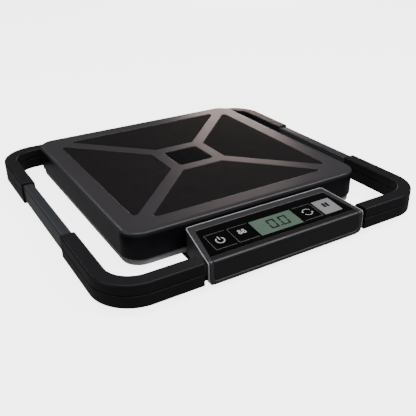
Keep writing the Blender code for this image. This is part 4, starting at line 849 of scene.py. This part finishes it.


# ---- Display head: rim with painted highlight ----
# A narrow band in bright silver runs round the head outside the bezel, down both front edges and
# under the foot, and draws the head's outline. Its brightness is a painted highlight, standing in for the
# light caught along the head's rounded edge.

BEZEL_GAP = 0.6 * MM
FOOT_CORNER = 16 * MM
BEZEL_LAP = 1 * MM


def head_border(inset):
    """The head's outline unrolled as (x, -run), moved in by inset, with round lower corners."""
    last = inset - FOOT_END - BEZEL_LAP
    narrow = head_half(HEAD_BACK_Y) - inset
    wide = head_half(HEAD_FRONT_Y) - inset
    back = max(HEAD_CORNER - inset, 0.5 * MM)
    foot = max(FOOT_CORNER - inset, 0.5 * MM)
    return rounded(
        (
            (-narrow, -inset, back), (-wide, -TOP_LENGTH, 0), (-wide, last, foot),
            (wide, last, foot), (wide, -TOP_LENGTH, 0), (narrow, -inset, back),
        ),
        10,
    )


def flat_plate(bm, border, holes, low, high, edge, steps=3):
    """A flat sheet from low to high with round upper edges. border and each of the holes give an
    outline set a distance into the material."""
    upper, lower = [], []
    for outline in (border, *holes):
        rings = [[Vector((x, y, low)) for x, y in outline(0)]]
        for sine, cosine in quarter(steps):
            height = high - edge * (1 - sine)
            rings.append([Vector((x, y, height)) for x, y in outline(edge * (1 - cosine))])
        made = loft(bm, rings, False, False)
        lower.append(made[0])
        upper.append(made[-1])
    for loops in (upper, lower):
        edges = [bm.edges.get((loop[i - 1], loop[i])) for loop in loops for i in range(len(loop))]
        bmesh.ops.triangle_fill(bm, use_beauty=True, edges=edges)


def bend_round_head(bm):
    """Lays a flat piece, with its width in X and its run in -Y, round the head's outline."""
    bends = [TOP_LENGTH + ROLL_LENGTH * i / 12 for i in range(13)]
    bends += [FOOT_START + BOTTOM_ROLL * math.pi / 2 * i / 12 for i in range(13)]
    for bend in bends:
        everything = bm.verts[:] + bm.edges[:] + bm.faces[:]
        bmesh.ops.bisect_plane(bm, geom=everything, dist=1e-7, plane_co=(0, -bend, 0), plane_no=(0, 1, 0))
    for vert in bm.verts:
        vert.co = head_skin(vert.co.x, -vert.co.y, vert.co.z)


bm = bmesh.new()
flat_plate(
    bm,
    lambda inset: head_border(inset + 0.05 * MM),
    [lambda inset: head_border(RIM - inset)],
    -RIM_DROP - 0.6 * MM, -0.3 * MM, 0.35 * MM,
)
bend_round_head(bm)

# The silver is a painted highlight along the head's rounded edge; it is part metal and breaks up a little
# along its length.
PAINTED_EDGE_HIGHLIGHT = hazed_finish(
    "painted_edge_highlight_silver", "#a9aaad", "#c8c9cc", 0.3, 0.5, 1.2 * MM, Metallic=0.15, IOR=1.5
)
# The bright band is a painted highlight along the head's edge, not a real silver part.
finish_piece("head_edge_highlight_band", bm, PAINTED_EDGE_HIGHLIGHT, "bezel_grey", "head")


# ---- Display head: bezel ----
# One moulding in dark grey satin ABS wraps the head's top and front in a single band: a broad
# strip at the back, a narrow column down each front edge and a lip under the front wall.

SKIN = 3 * MM
BEZEL_BACK = 9 * MM
BEZEL_COLUMN = 4.8 * MM
BEZEL_SIDE = 6.8 * MM
BEZEL_FOOT = 6.5 * MM
WINDOW_CORNER = 2.2 * MM
FOOT_WINDOW_CORNER = 5 * MM
WINDOW_BACK = RIM + BEZEL_BACK
WINDOW_FOOT = FOOT_START - (BEZEL_FOOT - BOTTOM_ROLL)


def window_border(inset, first_run=WINDOW_BACK, last_run=WINDOW_FOOT, first_corner=WINDOW_CORNER):
    """The window in the bezel unrolled as (x, -run) between two runs, moved in by inset."""
    wide = HEAD_FRONT_HALF - RIM - BEZEL_COLUMN - inset
    back_half = head_half(HEAD_BACK_Y - WINDOW_BACK) - RIM - BEZEL_SIDE - inset
    narrow = back_half + (wide - back_half) * (first_run - WINDOW_BACK) / (TOP_LENGTH - WINDOW_BACK)
    first, last = -first_run - inset, -last_run + inset
    foot = max(FOOT_WINDOW_CORNER - inset, 0.3 * MM) if last_run > TOP_LENGTH else 0
    back = max(first_corner - inset, 0.3 * MM) if first_corner else 0
    bend = [(-wide, -TOP_LENGTH, 0)] if last_run > TOP_LENGTH > first_run else []
    corners = [(-narrow, first, back), *bend, (-wide, last, foot), (wide, last, foot)]
    corners += [(-x, y, radius) for x, y, radius in bend] + [(narrow, first, back)]
    return rounded(corners, 8)


bm = bmesh.new()
flat_plate(
    bm,
    lambda inset: head_border(RIM + BEZEL_GAP + inset),
    [lambda inset: window_border(-inset)],
    -SKIN, 0, 0.9 * MM, 5,
)
bend_round_head(bm)
BEZEL_ABS = grained_plastic("grey_satin_bezel_abs", "#363638", "#3f3f41", 0.36, 1.2 * MM, 0.02 * MM, 0.4)
finish_piece("bezel_band", bm, BEZEL_ABS, "bezel_grey", "head", "head_bezel", crisp=35)


# ---- Display head: front panel ----
# A black satin moulding fills the bezel's window from the roll down. It runs on under the
# overlay, where it is pierced for the four keys and the display.

FIT = 0.3 * MM
PANEL_RECESS = 0.5 * MM
OVERLAY_THICKNESS = 0.8 * MM
OVERLAY_END = (HEAD_BACK_Y - HEAD_FRONT_Y - 8.9 * MM) / math.cos(HEAD_TILT)
KEY_WIDTH = 24.4 * MM
KEY_LENGTH = 25.9 * MM
KEY_SPACE = 2.8 * MM
KEY_CORNER = 1 * MM
LCD_WIDTH = 54 * MM
LCD_LENGTH = 26.4 * MM
ROW_RUN = (21.1 * MM + KEY_LENGTH / 2) / math.cos(HEAD_TILT)
KEYS = (("power_key", -1.5), ("zero_key", -0.5), ("units_key", 0.5), ("hold_key", 1.5))


def key_x(place):
    """Middle of the key at a place: one half or one and a half keys from the display."""
    first = LCD_WIDTH / 2 + KEY_SPACE + KEY_WIDTH / 2
    return math.copysign(first + (KEY_WIDTH + KEY_SPACE) * (abs(place) - 0.5), place)


def row_block(x, width, length, corner, out=0.0):
    """A rounded rectangle on the key row, grown by out, unrolled as (x, -run)."""
    half_w, half_l, corner = width / 2 + out, length / 2 + out, corner + out
    turns = ((-1, -1), (1, -1), (1, 1), (-1, 1))
    return rounded([(x + sx * half_w, -ROW_RUN + sy * half_l, corner) for sx, sy in turns], 6)


row_holes = [
    lambda inset, place=place: row_block(key_x(place), KEY_WIDTH, KEY_LENGTH, KEY_CORNER, FIT + inset)
    for _, place in KEYS
]
row_holes.append(lambda inset: row_block(0, LCD_WIDTH, LCD_LENGTH, 0.2 * MM, FIT + inset))
under = -PANEL_RECESS - OVERLAY_THICKNESS - FIT
bm = bmesh.new()
flat_plate(
    bm, lambda inset: window_border(FIT + inset, last_run=OVERLAY_END), row_holes,
    -SKIN, under, 0.1 * MM,
)
flat_plate(
    bm, lambda inset: window_border(FIT + inset, first_run=OVERLAY_END - FIT, first_corner=0), [],
    -SKIN, -PANEL_RECESS, 0.35 * MM,
)
bend_round_head(bm)
PANEL_ABS = grained_plastic("black_satin_panel_abs", "#151417", "#1c1b1e", 0.42, 1.2 * MM, 0.02 * MM, 0.5)
finish_piece("front_panel", bm, PANEL_ABS, "black_moulding", "head", "head_front_panel", crisp=35)


# ---- Display head: overlay ----
# A sheet of black acrylic with a polished face lies in the window, half a millimetre below the
# bezel. The keys and the display come up through cut-outs in it.

bm = bmesh.new()
flat_plate(
    bm, lambda inset: window_border(FIT + inset, last_run=OVERLAY_END - 2 * FIT), row_holes,
    -PANEL_RECESS - OVERLAY_THICKNESS, -PANEL_RECESS, 0.12 * MM, 2,
)
bend_round_head(bm)
finish_piece("acrylic_overlay", bm, GLOSS_BLACK, "black_gloss", "head", "head_overlay", crisp=35)


# ---- Display ----
# A reflective liquid crystal panel in a green-grey glass. Its digits are dark seven-segment
# bars at the face of the glass, and it shows zero to one decimal place.

LCD_FACE = -PANEL_RECESS - 0.4 * MM
LCD_THICKNESS = 3.2 * MM
DIGIT_HEIGHT = 13.5 * MM
DIGIT_WIDTH = 8.0 * MM
DIGIT_SLANT = 0.06
DIGIT_MIDDLES = (-4.8 * MM, 10.3 * MM)
POINT_X = 3.4 * MM
STROKE = 1.9 * MM
BAR_SPACE = 0.3 * MM


def on_row(points, lift):
    """Points given about the middle of the key row, x across and y up the slope."""
    return [Vector((x, y - ROW_RUN, lift)) for x, y in points]


def inlay(bm, points, low, high):
    """A thin flat shape, as printed ink or a liquid crystal segment."""
    loft(bm, [on_row(points, low), on_row(points, high)])


def block(x, y, width, height):
    """A plain rectangle of ink."""
    a, b = width / 2, height / 2
    return [(x - a, y - b), (x + a, y - b), (x + a, y + b), (x - a, y + b)]


bm = bmesh.new()
flat_plate(
    bm, lambda inset: row_block(0, LCD_WIDTH, LCD_LENGTH, 0.5 * MM, -inset), [],
    LCD_FACE - LCD_THICKNESS, LCD_FACE, 0.15 * MM,
)
bend_round_head(bm)

# The polariser gives the panel a soft satin face, and the cell behind it a fine mottle.
LCD_GLASS = hazed_finish(
    "polarised_display_glass", "#586d60", "#687d6f", 0.28, 0.42, 14 * MM,
    IOR=1.5, Specular_IOR_Level=0.35, Coat_Weight=0.1,
)
finish_piece("display_cell", bm, LCD_GLASS, "display_glass", "head", "lcd_panel")

bm = bmesh.new()
bars = [(0, way * DIGIT_HEIGHT / 2, DIGIT_WIDTH + STROKE, STROKE) for way in (-1, 1)]
bars += [
    (across * DIGIT_WIDTH / 2, way * DIGIT_HEIGHT / 4, STROKE, (DIGIT_HEIGHT - STROKE) / 2 - BAR_SPACE)
    for across in (-1, 1) for way in (-1, 1)
]
shapes = [(middle, bar) for middle in DIGIT_MIDDLES for bar in bars]
shapes.append((POINT_X, (0, -DIGIT_HEIGHT / 2, STROKE, STROKE)))
for middle, bar in shapes:
    leaning = [(middle + x + DIGIT_SLANT * y, y) for x, y in block(*bar)]
    inlay(bm, leaning, LCD_FACE - 0.05 * MM, LCD_FACE + 0.03 * MM)
bend_round_head(bm)
CRYSTAL = grained_plastic("dark_liquid_crystal", "#0c1310", "#131a17", 0.5, 1.0 * MM, 0.005 * MM, 0.1)
finish_piece("display_digits", bm, CRYSTAL, "display_glass", "head", even=False)


# ---- Keys ----
# Four square push keys sit flush in the overlay: three in polished black acrylic, each with a
# fine printed border, and one in light grey ABS. All four have a plain sign printed on them.

INK_WIDTH = 0.6 * MM
INK_RISE = 0.06 * MM
KEY_HEIGHT = 4.4 * MM

LIGHT_KEY_ABS = grained_plastic("light_grey_key_abs", "#8c8c8f", "#9a9a9d", 0.4, 0.9 * MM, 0.015 * MM, 0.5)
WHITE_INK = grained_plastic("pad_printed_white_ink", "#bfbfbf", "#dadada", 0.5, 0.8 * MM, 0.01 * MM, 0.4)
GREY_INK = grained_plastic("pad_printed_grey_ink", "#565658", "#68686a", 0.5, 0.8 * MM, 0.01 * MM, 0.4)
BLACK_INK = grained_plastic("pad_printed_black_ink", "#080808", "#101010", 0.6, 0.8 * MM, 0.01 * MM, 0.1)


def arc_band(x, y, radius, width, start, stop, steps=20):
    """A band of ink along part of a circle, in degrees from the right."""
    turns = [math.radians(start + (stop - start) * i / steps) for i in range(steps + 1)]
    outer = [(x + (radius + width / 2) * math.cos(t), y + (radius + width / 2) * math.sin(t)) for t in turns]
    inner = [(x + (radius - width / 2) * math.cos(t), y + (radius - width / 2) * math.sin(t)) for t in turns]
    return outer + inner[::-1]


def arrow_head(x, y, radius, turn, way, size):
    """A triangle of ink at the end of an arc, pointing round it one way."""
    t = math.radians(turn)
    at = Vector((x + radius * math.cos(t), y + radius * math.sin(t)))
    along = Vector((-math.sin(t), math.cos(t))) * way
    across = Vector((math.cos(t), math.sin(t)))
    return [tuple(at + along * size), tuple(at + across * size * 0.75), tuple(at - across * size * 0.75)]


def key_border(place):
    """A printed line round a key's edge, left open on the side next to the display."""
    x, way = key_x(place), math.copysign(1, place)
    near, far = x - way * KEY_WIDTH / 2, x + way * (KEY_WIDTH / 2 - 0.1 * MM)
    if abs(place) > 1:
        near += way * 0.1 * MM
    top, inner = KEY_LENGTH / 2 - 0.1 * MM, KEY_LENGTH / 2 - 0.1 * MM - INK_WIDTH
    far_in = far - way * INK_WIDTH
    line = [(near, top, 0), (far, top, KEY_CORNER), (far, -top, KEY_CORNER), (near, -top, 0)]
    line += [(near, -inner, 0), (far_in, -inner, KEY_CORNER - INK_WIDTH)]
    line += [(far_in, inner, KEY_CORNER - INK_WIDTH), (near, inner, 0)]
    return rounded(line, 4)


power_sign = [arc_band(0, -0.3 * MM, 4.5 * MM, 1.2 * MM, 128, 412), block(0, 3.1 * MM, 1.2 * MM, 5.6 * MM)]
zero_sign = []
for way in (-1, 1):
    x = way * 2.4 * MM
    zero_sign.append(arc_band(x, 4.2 * MM, 1.2 * MM, 1.0 * MM, 0, 359.9))
    zero_sign.append(arc_band(x, 0.8 * MM, 1.6 * MM, 1.3 * MM, 0, 359.9))
units_sign = [
    arc_band(0, 0, 5.4 * MM, 0.75 * MM, 25, 155), arrow_head(0, 0, 5.4 * MM, 155, 1, 2.1 * MM),
    arc_band(0, 0, 5.4 * MM, 0.75 * MM, 205, 335), arrow_head(0, 0, 5.4 * MM, 335, 1, 2.1 * MM),
]
hold_sign = [block(way * 2.2 * MM, 2.4 * MM, 3.4 * MM, 7.6 * MM) for way in (-1, 1)]
signs = {"power_key": power_sign, "zero_key": zero_sign, "units_key": units_sign, "hold_key": hold_sign}

for name, place in KEYS:
    x = key_x(place)
    body = name.split("_")[0]
    light = name == "hold_key"
    bm = bmesh.new()
    flat_plate(
        bm, lambda inset: row_block(x, KEY_WIDTH, KEY_LENGTH, KEY_CORNER, -inset), [],
        -PANEL_RECESS - KEY_HEIGHT, -PANEL_RECESS, 0.25 * MM,
    )
    bend_round_head(bm)
    finish_piece(
        f"{body}_push_key", bm, LIGHT_KEY_ABS if light else GLOSS_BLACK,
        "light_key" if light else "black_gloss", f"key_{body}", name,
    )
    low, high = -PANEL_RECESS - INK_RISE, -PANEL_RECESS + INK_RISE
    bm = bmesh.new()
    for outline in signs[name]:
        inlay(bm, [(x + a, b) for a, b in outline], low, high)
    bend_round_head(bm)
    ink = BLACK_INK if light else WHITE_INK
    finish_piece(f"{body}_key_sign", bm, ink, "light_key", f"key_{body}", even=False)
    if not light:
        bm = bmesh.new()
        inlay(bm, key_border(place), low, high)
        bend_round_head(bm)
        finish_piece(f"{body}_key_border", bm, GREY_INK, "light_key", f"key_{body}", even=False)


# ---- Floor, light and camera ----
# A plain white sweep under broad soft lights, with the camera on the front left corner.

def aim(at, target):
    """The turn that points a light's or a camera's -Z from one place to another."""
    return (Vector(target) - Vector(at)).to_track_quat("-Z", "Y").to_euler()


BACKDROP_GLOW = 4.0

bm = bmesh.new()
bmesh.ops.create_grid(bm, x_segments=2, y_segments=2, size=4.0)
sweep_mesh = bpy.data.meshes.new("sweep")
bm.to_mesh(sweep_mesh)
bm.free()
FLOOR_PAPER, paper_shader = start_finish(
    "white_backdrop_paper", Roughness=0.9, Specular_IOR_Level=0.1, Emission_Color=linear("#ffffff"),
    Emission_Strength=BACKDROP_GLOW,
)
place = add_node(FLOOR_PAPER, "TexCoord", {}).outputs["Object"]
fibre = add_node(FLOOR_PAPER, "TexNoise", {"Vector": place, "Scale": 30.0, "Detail": 3.0})
tone = add_node(
    FLOOR_PAPER,
    "Mix",
    {0: fibre.outputs["Fac"], 6: linear("#f6f6f6"), 7: linear("#fbfbfb")},
    data_type="RGBA",
)
feed(paper_shader, Base_Color=tone.outputs[2])
sweep_mesh.materials.append(FLOOR_PAPER)
floor = bpy.data.objects.new("backdrop_sweep", sweep_mesh)
bpy.context.scene.collection.objects.link(floor)
floor.visible_glossy = False
floor.visible_diffuse = False

world = bpy.data.worlds.new("studio")
world.use_nodes = True
sky = world.node_tree.nodes["Background"]
sky.inputs["Color"].default_value = linear("#f6f6fa")
where = add_node(world, "TexCoord", {})
height = add_node(world, "SeparateXYZ", {"Vector": where.outputs["Generated"]})
level = add_node(
    world,
    "MapRange",
    {"Value": height.outputs["Z"], "From Min": -0.3, "From Max": 0.1, "To Min": 0.2, "To Max": 0.07},
)
ray = add_node(world, "LightPath", {})
seen = add_node(
    world, "Mix", {"Factor": ray.outputs["Is Camera Ray"], "A": level.outputs["Result"], "B": BACKDROP_GLOW}
)
feed(sky, Strength=seen.outputs["Result"])
bpy.context.scene.world = world

LIGHTS = (
    ("back_softbox", (1.22, 1.74, 0.50), (0.1, 0.1, 0), 0.5, 0.3, 4.2),
    ("front_softbox", (0.95, -0.9, 1.5), (0, -0.15, 0), 0.9, 1.0, 22),
    ("edge_softbox", (-0.45, 1.5, 1.35), (-0.1, 0, 0), 0.5, 0.3, 3),
    ("top_softbox", (-0.4, -0.6, 1.8), (0, 0, 0), 1.4, 1.4, 18),
    ("left_softbox", (-2.0, -0.2, 0.8), (0, 0, 0), 1.2, 0.8, 10),
)
for name, at, target, width, height, power in LIGHTS:
    data = bpy.data.lights.new(name, "AREA")
    data.shape = "RECTANGLE"
    data.size, data.size_y, data.energy = width, height, power
    if name == "back_softbox":
        data.color = linear("#ffe6dc")[:3]
    lamp = bpy.data.objects.new(name, data)
    lamp.location = at
    lamp.rotation_euler = aim(at, target)
    bpy.context.scene.collection.objects.link(lamp)

CAMERA_AT = Vector((-0.32882, -0.58896, 0.32704))
AZIMUTH, ELEVATION, ROLL = (math.radians(angle) for angle in (-31.328, 27.324, -0.558))
back = Vector(
    (math.sin(AZIMUTH) * math.cos(ELEVATION), -math.cos(AZIMUTH) * math.cos(ELEVATION), math.sin(ELEVATION))
)
right = Vector((math.cos(AZIMUTH), math.sin(AZIMUTH), 0))
up = back.cross(right)
right, up = (
    right * math.cos(ROLL) + up * math.sin(ROLL),
    up * math.cos(ROLL) - right * math.sin(ROLL),
)
camera_data = bpy.data.cameras.new("camera")
camera_data.lens = 49.9
camera_data.sensor_width = 36
camera_data.shift_x = -0.0204
camera = bpy.data.objects.new("camera", camera_data)
camera.matrix_world = Matrix((right, up, back)).transposed().to_4x4()
camera.location = CAMERA_AT
bpy.context.scene.collection.objects.link(camera)
bpy.context.scene.camera = camera
